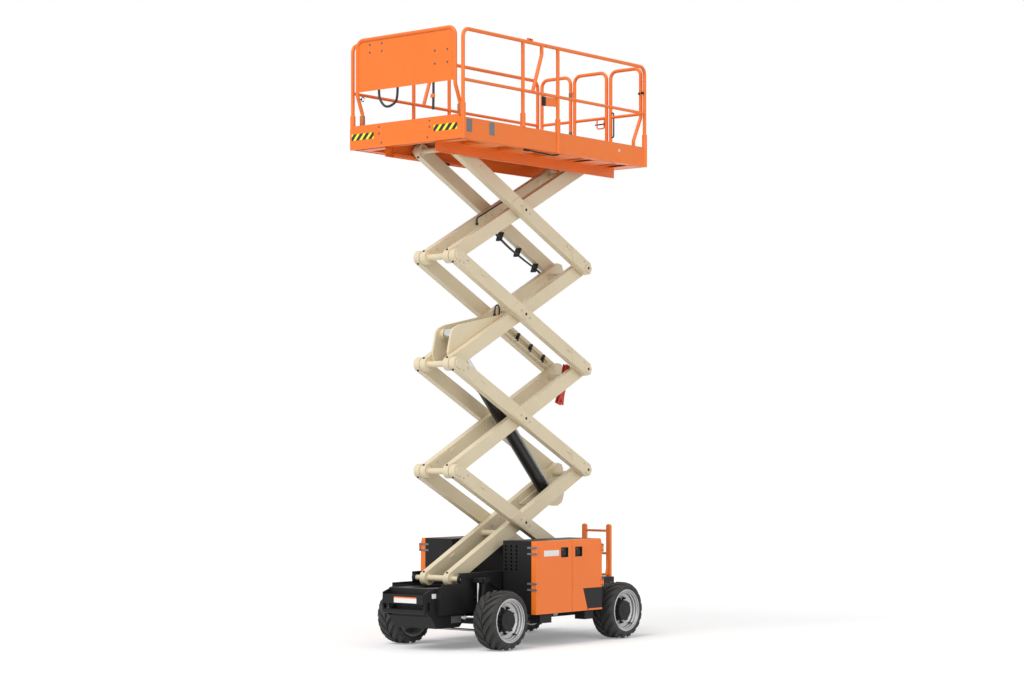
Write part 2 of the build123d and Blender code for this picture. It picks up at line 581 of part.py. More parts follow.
GATE_GAP = GATE_HALF + 20
with BuildPart() as rear_toe_boards:
    block((REAR_TOE_X, TOE_IN, TOE_LOW), (EXTENSION_REAR - 5, PLATFORM_HALF, TOE_TOP))
    block((PLATFORM_REAR, GATE_GAP, TOE_LOW), (REAR_TOE_X, PLATFORM_HALF, TOE_TOP))
    sleeves([(REAR_POST_X, RAIL_Y), (SEAM_POST_X, RAIL_Y)], TOE_LOW, TOE_TOP, SLEEVE_TOP)
    mirror(about=Plane.XZ)
    block((PLATFORM_REAR, -GATE_GAP, TOE_LOW), (REAR_TOE_X, GATE_GAP, DECK_LOW))
save(rear_toe_boards.part, "rear_toe_boards")


def side_rails(corner_x, free_x, inner_post_x):
    """One side's top rail, bent down into its corner post, with a mid rail and an inner post."""
    tube_path([(free_x, RAIL_Y, RAIL_Z), (corner_x, RAIL_Y, RAIL_Z), (corner_x, RAIL_Y, TOE_TOP)],
              RAIL_CORNER)
    tube_path([(free_x, RAIL_Y, MID_RAIL_Z), (corner_x, RAIL_Y, MID_RAIL_Z)], 0, MID_RAIL_R)
    upright(inner_post_x, RAIL_Y, RAIL_R, TOE_TOP, RAIL_Z)


KINK_TOP = MID_RAIL_Z - 40
REAR_LEG_X = GATE_X + REAR_LEG_SHIFT
GATE_POST_Y = GATE_HALF - 22
GATE_HINGE_ZS = (TOE_TOP + 130, MID_RAIL_Z + 330)
LUG_HALF = 7.0
with BuildPart() as main_rails:
    side_rails(REAR_POST_X, MAIN_RAIL_END, SEAM_POST_X)
    tube_path([(REAR_LEG_X, REAR_LEG_Y, DECK_TOP), (REAR_LEG_X, REAR_LEG_Y, KINK_TOP - 290),
               (GATE_X, REAR_LEG_Y, KINK_TOP), (GATE_X, REAR_LEG_Y, RAIL_Z),
               (GATE_X, FIXED_POST_Y, RAIL_Z), (GATE_X, FIXED_POST_Y, TOE_TOP)], RAIL_CORNER)
    tube_path([(GATE_X, REAR_LEG_Y, MID_RAIL_Z), (GATE_X, FIXED_POST_Y, MID_RAIL_Z)], 0, MID_RAIL_R)
    mirror(about=Plane.XZ)
    for z in GATE_HINGE_ZS:
        for z_low in (z - 36, z + 21):
            block((GATE_X - LUG_HALF, -FIXED_POST_Y + 15, z_low),
                  (GATE_X + LUG_HALF, GATE_HINGE_Y + LUG_HALF, z_low + 15))
        upright(GATE_X, GATE_HINGE_Y, HINGE_PIN_R, z - 35, z + 35)
save(main_rails.part, "main_guard_rails")

# The gate turns on two upright pins between its far post and the fixed frame beside it.
with BuildPart() as gate:
    tube_path([(GATE_X, GATE_POST_Y, TOE_TOP - 10), (GATE_X, GATE_POST_Y, RAIL_Z),
               (GATE_X, -GATE_POST_Y, RAIL_Z), (GATE_X, -GATE_POST_Y, TOE_TOP - 10)], RAIL_CORNER)
    tube_path([(GATE_X, GATE_POST_Y, MID_RAIL_Z), (GATE_X, -GATE_POST_Y, MID_RAIL_Z)], 0, MID_RAIL_R)
    block((PLATFORM_REAR, -GATE_HALF + 9, DECK_TOP + 15), (REAR_TOE_X, GATE_HALF - 9, TOE_TOP))
    for z in GATE_HINGE_ZS:
        block((GATE_X - LUG_HALF, GATE_HINGE_Y - LUG_HALF, z - 20),
              (GATE_X + LUG_HALF, -GATE_POST_Y - 15, z + 20))
        upright(GATE_X, GATE_HINGE_Y, HINGE_PIN_R + PIN_PLAY, z - 20, z + 20, mode=Mode.SUBTRACT)
save(gate.part, "entry_gate")

FRONT_TOE_X = PLATFORM_FRONT - TOE_THICK
HOOP_LEG_X = FRONT_RAIL_X - HOOP_LEG_SHIFT
with BuildPart() as extension_deck:
    block((EXTENSION_REAR, -DECK_HALF, DECK_TOP + 0.3), (FRONT_TOE_X, DECK_HALF, ROLL_OUT_TOP))
    sleeves([(HOOP_LEG_X, HOOP_Y), (HOOP_LEG_X, -HOOP_Y)], ROLL_OUT_TOP, ROLL_OUT_TOP, SLEEVE_TOP)
save(extension_deck.part, "extension_deck")
with BuildPart() as front_toe_boards:
    block((EXTENSION_REAR, TOE_IN, TOE_LOW), (PLATFORM_FRONT, PLATFORM_HALF, TOE_TOP))
    sleeves([(FRONT_POST_X, RAIL_Y)], TOE_LOW, TOE_TOP, SLEEVE_TOP)
    sleeves([(MIDDLE_POST_X, RAIL_Y)], TOE_TOP, TOE_TOP, SLEEVE_TOP)
    mirror(about=Plane.XZ)
    block((FRONT_TOE_X, -TOE_IN, TOE_LOW), (PLATFORM_FRONT, TOE_IN, TOE_TOP))
    block((FRONT_TOE_X, SLEEVE_R - RAIL_Y, TOE_TOP), (PLATFORM_FRONT, RAIL_Y - SLEEVE_R, TOE_TOP + FRONT_TOE_RISE))
save(front_toe_boards.part, "front_toe_boards")

# The roll-out rails: a kinked brace at the rear, and a hoop across the front with kinked legs.
BRACE = [(343, RAIL_Z), (343, RAIL_Z - 107), (506, MID_RAIL_Z)]  # x, z
HOOP_Z = RAIL_Z + HOOP_RISE
with BuildPart() as extension_rails:
    side_rails(FRONT_POST_X, ROLL_OUT_RAIL_END, MIDDLE_POST_X)
    tube_path([(x, RAIL_Y, z) for x, z in BRACE], 60)
    block((500, RAIL_Y - 6, RAIL_Z), (600, RAIL_Y + 6, RAIL_Z + 44))
    mirror(about=Plane.XZ)
    leg = [(HOOP_LEG_X, ROLL_OUT_TOP), (HOOP_LEG_X, SLEEVE_TOP + 20), (FRONT_RAIL_X, KINK_TOP),
           (FRONT_RAIL_X, HOOP_Z)]
    tube_path([(x, HOOP_Y, z) for x, z in leg] + [(x, -HOOP_Y, z) for x, z in reversed(leg)], RAIL_CORNER)
save(extension_rails.part, "extension_guard_rails")
PANEL_TOP, PANEL_HALF = HOOP_Z - RAIL_R - 0.3, HOOP_Y - RAIL_R - 0.3
with BuildPart() as front_panel:
    with BuildSketch(Plane.YZ.offset(FRONT_RAIL_X - 3)) as outline:
        with Locations((0, (MID_RAIL_Z + PANEL_TOP) / 2)):
            Rectangle(2 * PANEL_HALF, PANEL_TOP - MID_RAIL_Z)
        fillet(outline.vertices().group_by(Axis.Y)[-1], RAIL_CORNER - RAIL_R + 3)
    extrude(amount=6)
save(front_panel.part, "front_panel")
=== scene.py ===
"""The looks of a rough-terrain scissor lift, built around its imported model.

Each sub-assembly is a class that holds its sizes and builds its own pieces. Lengths are
metres and angles radians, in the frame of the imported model: X towards the front, Y to the
left, Z up.
"""

from __future__ import annotations

import json
import logging
import math
from dataclasses import dataclass, field
from enum import Enum
from typing import Any, Iterable, Sequence

import bmesh
import bpy
from mathutils import Matrix, Vector


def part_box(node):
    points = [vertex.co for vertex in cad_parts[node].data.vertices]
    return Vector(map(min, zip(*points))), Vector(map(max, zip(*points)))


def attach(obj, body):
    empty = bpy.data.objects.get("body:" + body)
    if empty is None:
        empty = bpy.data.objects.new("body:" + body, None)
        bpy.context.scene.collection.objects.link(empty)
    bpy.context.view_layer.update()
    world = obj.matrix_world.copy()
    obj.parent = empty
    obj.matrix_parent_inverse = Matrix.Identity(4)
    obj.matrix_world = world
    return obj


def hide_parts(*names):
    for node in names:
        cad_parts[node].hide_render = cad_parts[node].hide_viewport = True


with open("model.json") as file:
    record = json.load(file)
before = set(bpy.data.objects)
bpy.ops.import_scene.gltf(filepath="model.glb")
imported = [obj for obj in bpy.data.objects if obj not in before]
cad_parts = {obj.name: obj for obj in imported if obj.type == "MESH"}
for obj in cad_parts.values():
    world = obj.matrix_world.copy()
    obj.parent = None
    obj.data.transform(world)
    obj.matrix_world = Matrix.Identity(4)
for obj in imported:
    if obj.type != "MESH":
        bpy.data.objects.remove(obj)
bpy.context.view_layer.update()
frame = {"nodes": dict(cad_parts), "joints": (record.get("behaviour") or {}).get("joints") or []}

LOG = logging.getLogger("scissor_lift")
Point = Sequence[float]
Colour = tuple[float, float, float]
PINS = {row["name"]: Vector(row.get("pos_m") or (0, 0, 0)) for row in frame["joints"]}
BOXES = {name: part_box(name) for name in frame["nodes"]}
STAGES = 4
SIDES = {"left": 1.0, "right": -1.0}
PLATE = 0.0015  # the thickness of a blank plate or patch


# ---- Node trees ----
class Graph:
    """A node tree in the making."""

    def __init__(self, tree: bpy.types.NodeTree) -> None:
        """Holds the tree, emptied of its starting nodes.

        Args:
            tree: A shader or geometry node tree.
        """
        self.tree = tree
        tree.nodes.clear()

    def socket(self, name: str, kind: str, value: Any = None, out: bool = False) -> None:
        """Adds one socket to a group's interface.

        Args:
            name: The name shown on the group.
            kind: The socket type, without its NodeSocket prefix.
            value: The starting value, if any.
            out: True for an output.
        """
        made = self.tree.interface.new_socket(
            name, in_out="OUTPUT" if out else "INPUT", socket_type=f"NodeSocket{kind}")
        if value is not None:
            made.default_value = value

    def add(self, kind: str, feeds: dict | None = None, **settings: Any) -> bpy.types.Node:
        """Adds a node, with its settings, and feeds its inputs.

        Args:
            kind: The node's type name.
            feeds: Input name or index to a constant, a socket, or a node whose first
                output is taken.
            **settings: Properties of the node.

        Returns:
            The new node.
        """
        node = self.tree.nodes.new(kind)
        for key, value in settings.items():
            setattr(node, key, value)
        for key, value in (feeds or {}).items():
            if isinstance(value, bpy.types.Node):
                value = next(out for out in value.outputs if out.enabled)
            if isinstance(value, bpy.types.NodeSocket):
                self.tree.links.new(value, node.inputs[key])
            else:
                node.inputs[key].default_value = value
        return node

    def maths(self, operation: str, *values: Any, clamp: bool = False) -> bpy.types.Node:
        """Adds a Math node.

        Args:
            operation: The node's operation.
            *values: Its inputs in order.
            clamp: True to hold the result between 0 and 1.

        Returns:
            The new node.
        """
        return self.add("ShaderNodeMath", dict(enumerate(values)), operation=operation,
                        use_clamp=clamp)

    def spread(self, value: Any, low: Any, high: Any, to_low: Any = 0.0,
               to_high: Any = 1.0) -> bpy.types.Node:
        """Adds a clamped Map Range node from low..high to to_low..to_high.

        Returns:
            The new node.
        """
        return self.add("ShaderNodeMapRange",
                        {"Value": value, "From Min": low, "From Max": high,
                         "To Min": to_low, "To Max": to_high})

    def mix(self, share: Any, first: Any, second: Any) -> bpy.types.NodeSocket:
        """Mixes two colours.

        Args:
            share: How much of the second, from 0 to 1.
            first: The first colour.
            second: The second colour.

        Returns:
            The mixed colour's socket.
        """
        node = self.tree.nodes.new("ShaderNodeMix")
        node.data_type = "RGBA"
        for index, value in ((0, share), (6, first), (7, second)):
            if isinstance(value, bpy.types.Node):
                value = value.outputs[0]
            if isinstance(value, bpy.types.NodeSocket):
                self.tree.links.new(value, node.inputs[index])
            else:
                node.inputs[index].default_value = value
        return node.outputs[2]


def rgba(colour: Colour) -> tuple[float, float, float, float]:
    """Gives a colour its alpha of 1."""
    return (*colour, 1.0)


def shader_group(name: str) -> tuple[Graph, bool]:
    """Finds or starts a shader node group.

    Args:
        name: The group's name.

    Returns:
        The group's graph, and whether it is new and has to be filled.
    """
    found = bpy.data.node_groups.get(name)
    if found is not None:
        graph = Graph.__new__(Graph)
        graph.tree = found
        return graph, False
    return Graph(bpy.data.node_groups.new(name, "ShaderNodeTree")), True


def grain_group() -> bpy.types.NodeTree:
    """Builds the shared surface grain: slow mottling, fine grain and their height.

    Returns:
        A group with inputs Scale and Stretch, and outputs Mottle, Grain and Height.
    """
    graph, new = shader_group("surface_grain")
    if new:
        graph.socket("Scale", "Float", 60.0)
        graph.socket("Stretch", "Vector", (1.0, 1.0, 1.0))
        for name in ("Mottle", "Grain", "Height"):
            graph.socket(name, "Float", out=True)
        start = graph.add("NodeGroupInput")
        place = graph.add("ShaderNodeTexCoord")
        laid = graph.add("ShaderNodeVectorMath",
                         {0: place.outputs["Object"], 1: start.outputs["Stretch"]},
                         operation="MULTIPLY")
        slow = graph.add("ShaderNodeTexNoise",
                         {"Vector": laid, "Scale": 2.3, "Detail": 4.0, "Roughness": 0.6})
        fine = graph.add("ShaderNodeTexNoise",
                         {"Vector": laid, "Scale": start.outputs["Scale"], "Detail": 3.0})
        mottle = graph.spread(slow.outputs["Fac"], 0.3, 0.7)
        grain = graph.spread(fine.outputs["Fac"], 0.3, 0.7)
        graph.add("NodeGroupOutput", {"Mottle": mottle, "Grain": grain,
                                      "Height": fine.outputs["Fac"]})
    return graph.tree


def dust_group() -> bpy.types.NodeTree:
    """Builds the shared dust: it settles on what faces up, in patches.

    Returns:
        A group with inputs Amount and Scale, and output Mask.
    """
    graph, new = shader_group("settled_dust")
    if new:
        graph.socket("Amount", "Float", 0.3)
        graph.socket("Scale", "Float", 9.0)
        graph.socket("Mask", "Float", out=True)
        start = graph.add("NodeGroupInput")
        facing = graph.add("ShaderNodeNewGeometry")
        parts = graph.add("ShaderNodeSeparateXYZ", {0: facing.outputs["Normal"]})
        up = graph.spread(parts.outputs["Z"], -0.2, 1.0, 0.25, 1.0)
        place = graph.add("ShaderNodeTexCoord")
        patches = graph.add("ShaderNodeTexNoise",
                            {"Vector": place.outputs["Object"], "Scale": start.outputs["Scale"],
                             "Detail": 6.0, "Roughness": 0.65})
        patch = graph.spread(patches.outputs["Fac"], 0.38, 0.72)
        mask = graph.maths("MULTIPLY", up, patch)
        graph.add("NodeGroupOutput",
                  {"Mask": graph.maths("MULTIPLY", mask, start.outputs["Amount"], clamp=True)})
    return graph.tree


def painted_highlight_group() -> bpy.types.NodeTree:
    """Builds the shared painted edge highlight: it marks where a rounded normal leaves the true
    one, broken up by noise.

    Returns:
        A group with inputs Radius and Amount, and output Mask.
    """
    graph, new = shader_group("painted_edge_highlight")
    if new:
        graph.socket("Radius", "Float", 0.004)
        graph.socket("Amount", "Float", 0.6)
        graph.socket("Mask", "Float", out=True)
        start = graph.add("NodeGroupInput")
        rounded = graph.add("ShaderNodeBevel", {"Radius": start.outputs["Radius"]}, samples=4)
        facing = graph.add("ShaderNodeNewGeometry")
        match = graph.add("ShaderNodeVectorMath", {0: rounded, 1: facing.outputs["Normal"]},
                          operation="DOT_PRODUCT")
        edge = graph.spread(match.outputs["Value"], 0.985, 0.86)
        place = graph.add("ShaderNodeTexCoord")
        broken = graph.add("ShaderNodeTexNoise",
                           {"Vector": place.outputs["Object"], "Scale": 38.0, "Detail": 4.0})
        gaps = graph.spread(broken.outputs["Fac"], 0.3, 0.6)
        mask = graph.maths("MULTIPLY", edge, gaps)
        graph.add("NodeGroupOutput",
                  {"Mask": graph.maths("MULTIPLY", mask, start.outputs["Amount"], clamp=True)})
    return graph.tree


# ---- Finishes ----
@dataclass(frozen=True)
class Finish:
    """A surface of one colour, with grain. Other finishes build on it.

    Attributes:
        name: The material's name.
        slot: The record's material slot.
        colour: The base colour, linear.
        roughness: The middle of its roughness.
        metallic: 1 for bare metal.
        coat: The weight of a clear coat.
        grain_scale: How fine the grain is, per metre.
        grain_height: The height of the grain, in metres.
        mottle: How much the colour wanders, as a share.
        dust: How much dust lies on it.
        edge: How far the painted edge highlight lightens edges, as a share.
        shine: How strongly it mirrors, where 0.5 is a usual paint.
        stretch: How much finer the grain is along X, Y and Z.
        dust_colour: The dust's colour, linear.
    """

    name: str
    slot: str
    colour: Colour
    roughness: float = 0.45
    metallic: float = 0.0
    coat: float = 0.0
    grain_scale: float = 180.0
    grain_height: float = 0.0004
    mottle: float = 0.07
    dust: float = 0.1
    edge: float = 0.0
    shine: float = 0.5
    stretch: tuple[float, float, float] = (1.0, 1.0, 1.0)
    dust_colour: Colour = (0.42, 0.37, 0.3)

    def base(self, graph: Graph, mottle: bpy.types.NodeSocket) -> Any:
        """Gives the colour before dust and the painted edge highlight.

        Args:
            graph: The material's tree.
            mottle: The slow variation, from 0 to 1.

        Returns:
            The colour's socket.
        """
        dark = tuple(part * (1 - self.mottle) for part in self.colour)
        light = tuple(min(1.0, part * (1 + self.mottle)) for part in self.colour)
        return graph.mix(mottle, rgba(dark), rgba(light))

    def material(self) -> bpy.types.Material:
        """Builds the finish's material once.

        Returns:
            The material.
        """
        found = bpy.data.materials.get(self.name)
        if found is not None:
            return found
        made = bpy.data.materials.new(self.name)
        made.use_nodes = True
        graph = Graph(made.node_tree)
        grain = graph.add("ShaderNodeGroup", node_tree=grain_group())
        grain.inputs["Scale"].default_value = self.grain_scale
        grain.inputs["Stretch"].default_value = self.stretch
        colour = self.base(graph, grain.outputs["Mottle"])
        # Painted highlight: edges are mixed toward a lighter colour of the finish, as if light
        # caught them.
        if self.edge:
            highlight = graph.add("ShaderNodeGroup", node_tree=painted_highlight_group())
            highlight.inputs["Amount"].default_value = self.edge
            light = tuple(min(1.0, part * 1.35 + 0.05) for part in self.colour)
            colour = graph.mix(highlight.outputs["Mask"], colour, rgba(light))
        rough = graph.spread(grain.outputs["Grain"], 0.0, 1.0, self.roughness - 0.05,
                             self.roughness + 0.06)
        if self.dust:
            dust = graph.add("ShaderNodeGroup", node_tree=dust_group())
            dust.inputs["Amount"].default_value = self.dust
            colour = graph.mix(dust.outputs["Mask"], colour, rgba(self.dust_colour))
            rough = graph.maths("ADD", rough, graph.maths("MULTIPLY", dust, 0.35), clamp=True)
        bump = graph.add("ShaderNodeBump", {"Height": grain.outputs["Height"],
                                            "Distance": self.grain_height, "Strength": 1.0})
        shader = graph.add("ShaderNodeBsdfPrincipled",
                           {"Base Color": colour, "Roughness": rough, "Normal": bump,
                            "Metallic": self.metallic, "Coat Weight": self.coat,
                            "Specular IOR Level": self.shine})
        shader.inputs["Coat Roughness"].default_value = 0.25
        graph.add("ShaderNodeOutputMaterial", {"Surface": shader})
        return made


@dataclass(frozen=True)
class Stripes(Finish):
    """Diagonal bands of two colours, laid across and up.

    Attributes:
        second: The other colour.
        pitch: The width of a pair of bands.
        lean: How far a band leans across for each metre up.
        shift: How far the bands are moved across.
        dark: The second colour's share of a pair.
    """

    second: Colour = (0.01, 0.01, 0.01)
    pitch: float = 0.0938
    lean: float = -0.9
    shift: float = 5.918
    dark: float = 0.57

    def base(self, graph: Graph, mottle: bpy.types.NodeSocket) -> Any:
        """Gives the banded colour.

        Args:
            graph: The material's tree.
            mottle: The slow variation, which bands don't take.

        Returns:
            The colour's socket.
        """
        place = graph.add("ShaderNodeTexCoord")
        parts = graph.add("ShaderNodeSeparateXYZ", {0: place.outputs["Object"]})
        leaned = graph.maths("MULTIPLY", parts.outputs["Z"], self.lean)
        along = graph.maths("ADD", graph.maths("ADD", parts.outputs["Y"], leaned), self.shift)
        share = graph.maths("FRACT", graph.maths("DIVIDE", along, self.pitch))
        band = graph.maths("LESS_THAN", share, self.dark)
        return graph.mix(band, rgba(self.colour), rgba(self.second))


CREAM = Finish("cream_arm_paint", "cream_paint", (0.72, 0.62, 0.43), 0.42, grain_height=0.0003,
               mottle=0.035, dust=0.06, edge=0.75)
ORANGE = Finish("orange_rail_paint", "orange_paint", (0.88, 0.182, 0.013), 0.42, coat=0.1,
                grain_height=0.0003, mottle=0.03, dust=0.03, edge=0.5)
BLACK = Finish("black_chassis_paint", "black_paint", (0.008, 0.008, 0.0085), 0.5, coat=0.03,
               mottle=0.25, dust=0.03, edge=0.15, shine=0.25, dust_colour=(0.12, 0.11, 0.1))
SILVER = Finish("silver_wheel_paint", "silver_rim", (0.5, 0.5, 0.51), 0.34, metallic=0.55,
                mottle=0.06, dust=0.12, edge=0.3)
STEEL = Finish("zinc_plated_steel", "steel", (0.5, 0.5, 0.49), 0.35, metallic=1.0,
               grain_scale=420.0, mottle=0.12, dust=0.1)
CHROME = Finish("chromed_rod", "chrome_rod", (0.62, 0.63, 0.65), 0.14, metallic=1.0,
                grain_scale=600.0, grain_height=0.0001, mottle=0.04, dust=0.04,
                stretch=(1.0, 1.0, 0.06))
CYLINDER = Finish("black_cylinder_gloss", "black_cylinder", (0.008, 0.008, 0.009), 0.3, coat=0.25,
                  mottle=0.2, dust=0.03, shine=0.35, dust_colour=(0.12, 0.11, 0.1))
RUBBER = Finish("tyre_rubber", "tyre", (0.026, 0.0255, 0.025), 0.72, grain_scale=140.0,
                grain_height=0.0012, mottle=0.3, dust=0.28, dust_colour=(0.1, 0.095, 0.085))
HOSE = Finish("hose_rubber", "tyre", (0.014, 0.014, 0.015), 0.5, grain_scale=300.0, dust=0.05)
NYLON = Finish("black_nylon", "nylon", (0.01, 0.01, 0.0105), 0.5, grain_scale=260.0, dust=0.04,
               shine=0.3)
CASTING = Finish("grey_engine_casting", "engine_grey", (0.1, 0.1, 0.1), 0.62,
                 grain_height=0.0015, mottle=0.2, dust=0.3)
RED = Finish("red_prop_paint", "orange_paint", (0.52, 0.03, 0.012), 0.42, mottle=0.06, dust=0.05,
             edge=0.3)
GREY = Finish("grey_cast_hinge", "steel", (0.16, 0.17, 0.18), 0.5, metallic=0.3, mottle=0.1)
PAPER = Finish("blank_white_plate", "silver_rim", (0.8, 0.8, 0.79), 0.5, mottle=0.03, dust=0.05)
PATCH = Finish("blank_grey_patch", "black_paint", (0.18, 0.19, 0.2), 0.8, mottle=0.12, dust=0.1)
HAZARD = Stripes("hazard_stripes", "orange_paint", (0.93, 0.85, 0.04), 0.42, mottle=0.0, dust=0.03)


# ---- Meshes ----
class Shape:
    """A mesh in the making, in the frame of the whole machine."""

    def __init__(self, name: str, body: str) -> None:
        """Starts an empty shape.

        Args:
            name: The piece's name.
            body: The body that it rides on.
        """
        self.name, self.body, self.mesh = name, body, bmesh.new()

    def box(self, low: Point, high: Point) -> Shape:
        """Adds a box between two corners.

        Args:
            low: The corner with the least x, y and z.
            high: The corner with the greatest.

        Returns:
            The shape itself.
        """
        corners = [self.mesh.verts.new((x, y, z)) for x in (low[0], high[0])
                   for y in (low[1], high[1]) for z in (low[2], high[2])]
        for face in ((0, 1, 3, 2), (4, 6, 7, 5), (0, 4, 5, 1), (2, 3, 7, 6), (0, 2, 6, 4),
                     (1, 5, 7, 3)):
            self.mesh.faces.new([corners[index] for index in face])
        return self

    def prism(self, outline: Sequence[Point], origin: Point, right: Point, up: Point,
              depth: float) -> Shape:
        """Adds a flat outline given a depth.

        Args:
            outline: Points (right, up) from the origin.
            origin: Where the outline's zero lies.
            right: The direction of its first number.
            up: The direction of its second.
            depth: How far it reaches along right x up.

        Returns:
            The shape itself.
        """
        right, up = Vector(right).normalized(), Vector(up).normalized()
        out = right.cross(up) * depth
        flat = [Vector(origin) + right * a + up * b for a, b in outline]
        low = [self.mesh.verts.new(point) for point in flat]
        high = [self.mesh.verts.new(point + out) for point in flat]
        self.mesh.faces.new(low[::-1])
        self.mesh.faces.new(high)
        for index, vert in enumerate(low):
            after = (index + 1) % len(low)
            self.mesh.faces.new((vert, low[after], high[after], high[index]))
        return self

    def lathe(self, centre: Point, axis: Point, profile: Sequence[Point],
              sides: int = 32) -> Shape:
        """Turns a profile about an axis.

        Args:
            centre: A point on the axis.
            axis: Its direction.
            profile: Points (along the axis, radius). It is closed by flat ends.
            sides: How many flats go round.

        Returns:
            The shape itself.
        """
        axis = Vector(axis).normalized()
        side = axis.orthogonal().normalized()
        return self.skin([self.ring(Vector(centre) + axis * along, side, axis.cross(side), radius,
                                    sides) for along, radius in profile])

    def ring(self, middle: Vector, side: Vector, other: Vector, radius: float,
             sides: int) -> list[bmesh.types.BMVert]:
        """Adds the corners of a circle.

        Args:
            middle: Its middle.
            side: The direction of its first corner.
            other: The direction a quarter turn on.
            radius: Its radius.
            sides: How many corners it has.

        Returns:
            The corners in order.
        """
        return [self.mesh.verts.new(middle + radius * (side * math.cos(turn)
                                                       + other * math.sin(turn)))
                for turn in (2 * math.pi * step / sides for step in range(sides))]

    def skin(self, rings: Sequence[Sequence[bmesh.types.BMVert]]) -> Shape:
        """Joins rings of as many corners with faces, and closes both ends.

        Args:
            rings: The rings in order.

        Returns:
            The shape itself.
        """
        for first, second in zip(rings, rings[1:]):
            self.join(first, second)
        self.mesh.faces.new(rings[0][::-1])
        self.mesh.faces.new(rings[-1])
        return self

    def join(self, first: Sequence[bmesh.types.BMVert],
             second: Sequence[bmesh.types.BMVert]) -> None:
        """Joins two rings of as many corners with a band of faces."""
        for index in range(len(first)):
            after = (index + 1) % len(first)
            self.mesh.faces.new((first[index], first[after], second[after], second[index]))

    def bar(self, start: Point, end: Point, radius: float, sides: int = 20,
            chamfer: float = 0.0) -> Shape:
        """Adds a round bar between two points.

        Args:
            start: The middle of one end.
            end: The middle of the other.
            radius: Its radius.
            sides: How many flats go round.
            chamfer: The width of the chamfer round each end, or 0.

        Returns:
            The shape itself.
        """
        along = Vector(end) - Vector(start)
        length = along.length
        profile = [(0, radius), (length, radius)]
        if chamfer:
            profile = [(0, radius - chamfer), (chamfer, radius), (length - chamfer, radius),
                       (length, radius - chamfer)]
        return self.lathe(start, along, profile, sides)

    def tube(self, path: Sequence[Point], radius: float, sides: int = 12) -> Shape:
        """Sweeps a circle along points, with flat ends.

        Args:
            path: The points, already as smooth as they should look.
            radius: The tube's radius.
            sides: How many flats go round.

        Returns:
            The shape itself.
        """
        points = [Vector(point) for point in path]
        ways = [(b - a).normalized() for a, b in zip(points, points[1:])]
        ways = [ways[0]] + [(a + b).normalized() for a, b in zip(ways, ways[1:])] + [ways[-1]]
        side = ways[0].orthogonal().normalized()
        rings = []
        for point, way in zip(points, ways):
            side = (side - way * side.dot(way)).normalized()
            rings.append(self.ring(point, side, way.cross(side), radius, sides))
        return self.skin(rings)

    def on_both_sides(self) -> Shape:
        """Adds the mirror image about the middle of the machine.

        Returns:
            The shape itself.
        """
        twin = self.mesh.copy()
        bmesh.ops.scale(twin, vec=(1, -1, 1), verts=twin.verts)
        bmesh.ops.reverse_faces(twin, faces=twin.faces)
        held = bpy.data.meshes.new("twin")
        twin.to_mesh(held)
        twin.free()
        self.mesh.from_mesh(held)
        bpy.data.meshes.remove(held)
        return self

    def take(self, mesh: bpy.types.Mesh) -> Shape:
        """Adds a finished mesh and removes it."""
        self.mesh.from_mesh(mesh)
        bpy.data.meshes.remove(mesh)
        return self

    def data(self) -> bpy.types.Mesh:
        """Ends the shape.

        Returns:
            Its mesh, with its faces outwards.
        """
        bmesh.ops.recalc_face_normals(self.mesh, faces=self.mesh.faces)
        made = bpy.data.meshes.new(self.name)
        self.mesh.to_mesh(made)
        self.mesh.free()
        return made

    def piece(self, finish: Finish, edge: float = 0.0, replaces: Sequence[str] = (),
              smooth: float = 35.0) -> bpy.types.Object:
        """Ends the shape as a piece that rides on its body.

        Args:
            finish: Its finish.
            edge: The width of the bevel on its edges, or 0.
            replaces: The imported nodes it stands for.
            smooth: The largest angle shaded smooth, in degrees.

        Returns:
            The piece.
        """
        return dress(self.name, self.data(), self.body, finish, edge, replaces, smooth)


def dress(name: str, mesh: bpy.types.Mesh, body: str, finish: Finish, edge: float = 0.0,
          replaces: Sequence[str] = (), smooth: float = 35.0) -> bpy.types.Object:
    """Makes a mesh a finished piece.

    Args:
        name: The piece's name.
        mesh: Its mesh, in place.
        body: The body that it rides on.
        finish: Its finish.
        edge: The width of the bevel on its edges, or 0.
        replaces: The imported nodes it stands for.
        smooth: The largest angle shaded smooth, in degrees.

    Returns:
        The piece.
    """
    mesh.materials.clear()
    mesh.materials.append(finish.material())
    mesh.shade_smooth()
    mesh.set_sharp_from_angle(angle=math.radians(smooth))
    made = bpy.data.objects.new(name, mesh)
    bpy.context.scene.collection.objects.link(made)
    if edge:
        bevel = made.modifiers.new("edges", "BEVEL")
        bevel.width, bevel.segments = edge, 2
        bevel.limit_method, bevel.angle_limit = "ANGLE", math.radians(40)
        bevel.harden_normals = True
    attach(made, body)
    if replaces:
        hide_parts(*replaces)
    LOG.info("%s rides on %s", name, body)
    return made


def carved(mesh: bpy.types.Mesh, tool: bpy.types.Mesh) -> bpy.types.Mesh:
    """Cuts one closed mesh out of another, and removes both.

    Args:
        mesh: What is cut.
        tool: What is taken away.

    Returns:
        A new mesh.
    """
    holders = [bpy.data.objects.new(name, held) for name, held in
               (("carved", mesh), ("carving_tool", tool))]
    for holder in holders:
        bpy.context.scene.collection.objects.link(holder)
    cut = holders[0].modifiers.new("cut", "BOOLEAN")
    cut.operation, cut.solver, cut.object = "DIFFERENCE", "EXACT", holders[1]
    graph = bpy.context.evaluated_depsgraph_get()
    made = bpy.data.meshes.new_from_object(holders[0].evaluated_get(graph), depsgraph=graph)
    holders[0].modifiers.clear()
    for holder in holders:
        bpy.data.objects.remove(holder)
    for used in (mesh, tool):
        bpy.data.meshes.remove(used)
    return made


def paint(finish: Finish, *nodes: str) -> None:
    """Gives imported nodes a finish.

    Args:
        finish: The finish.
        *nodes: The nodes' names.
    """
    for node in nodes:
        materials = frame["nodes"][node].data.materials
        if not materials:
            materials.append(None)
        for index in range(len(materials)):
            materials[index] = finish.material()


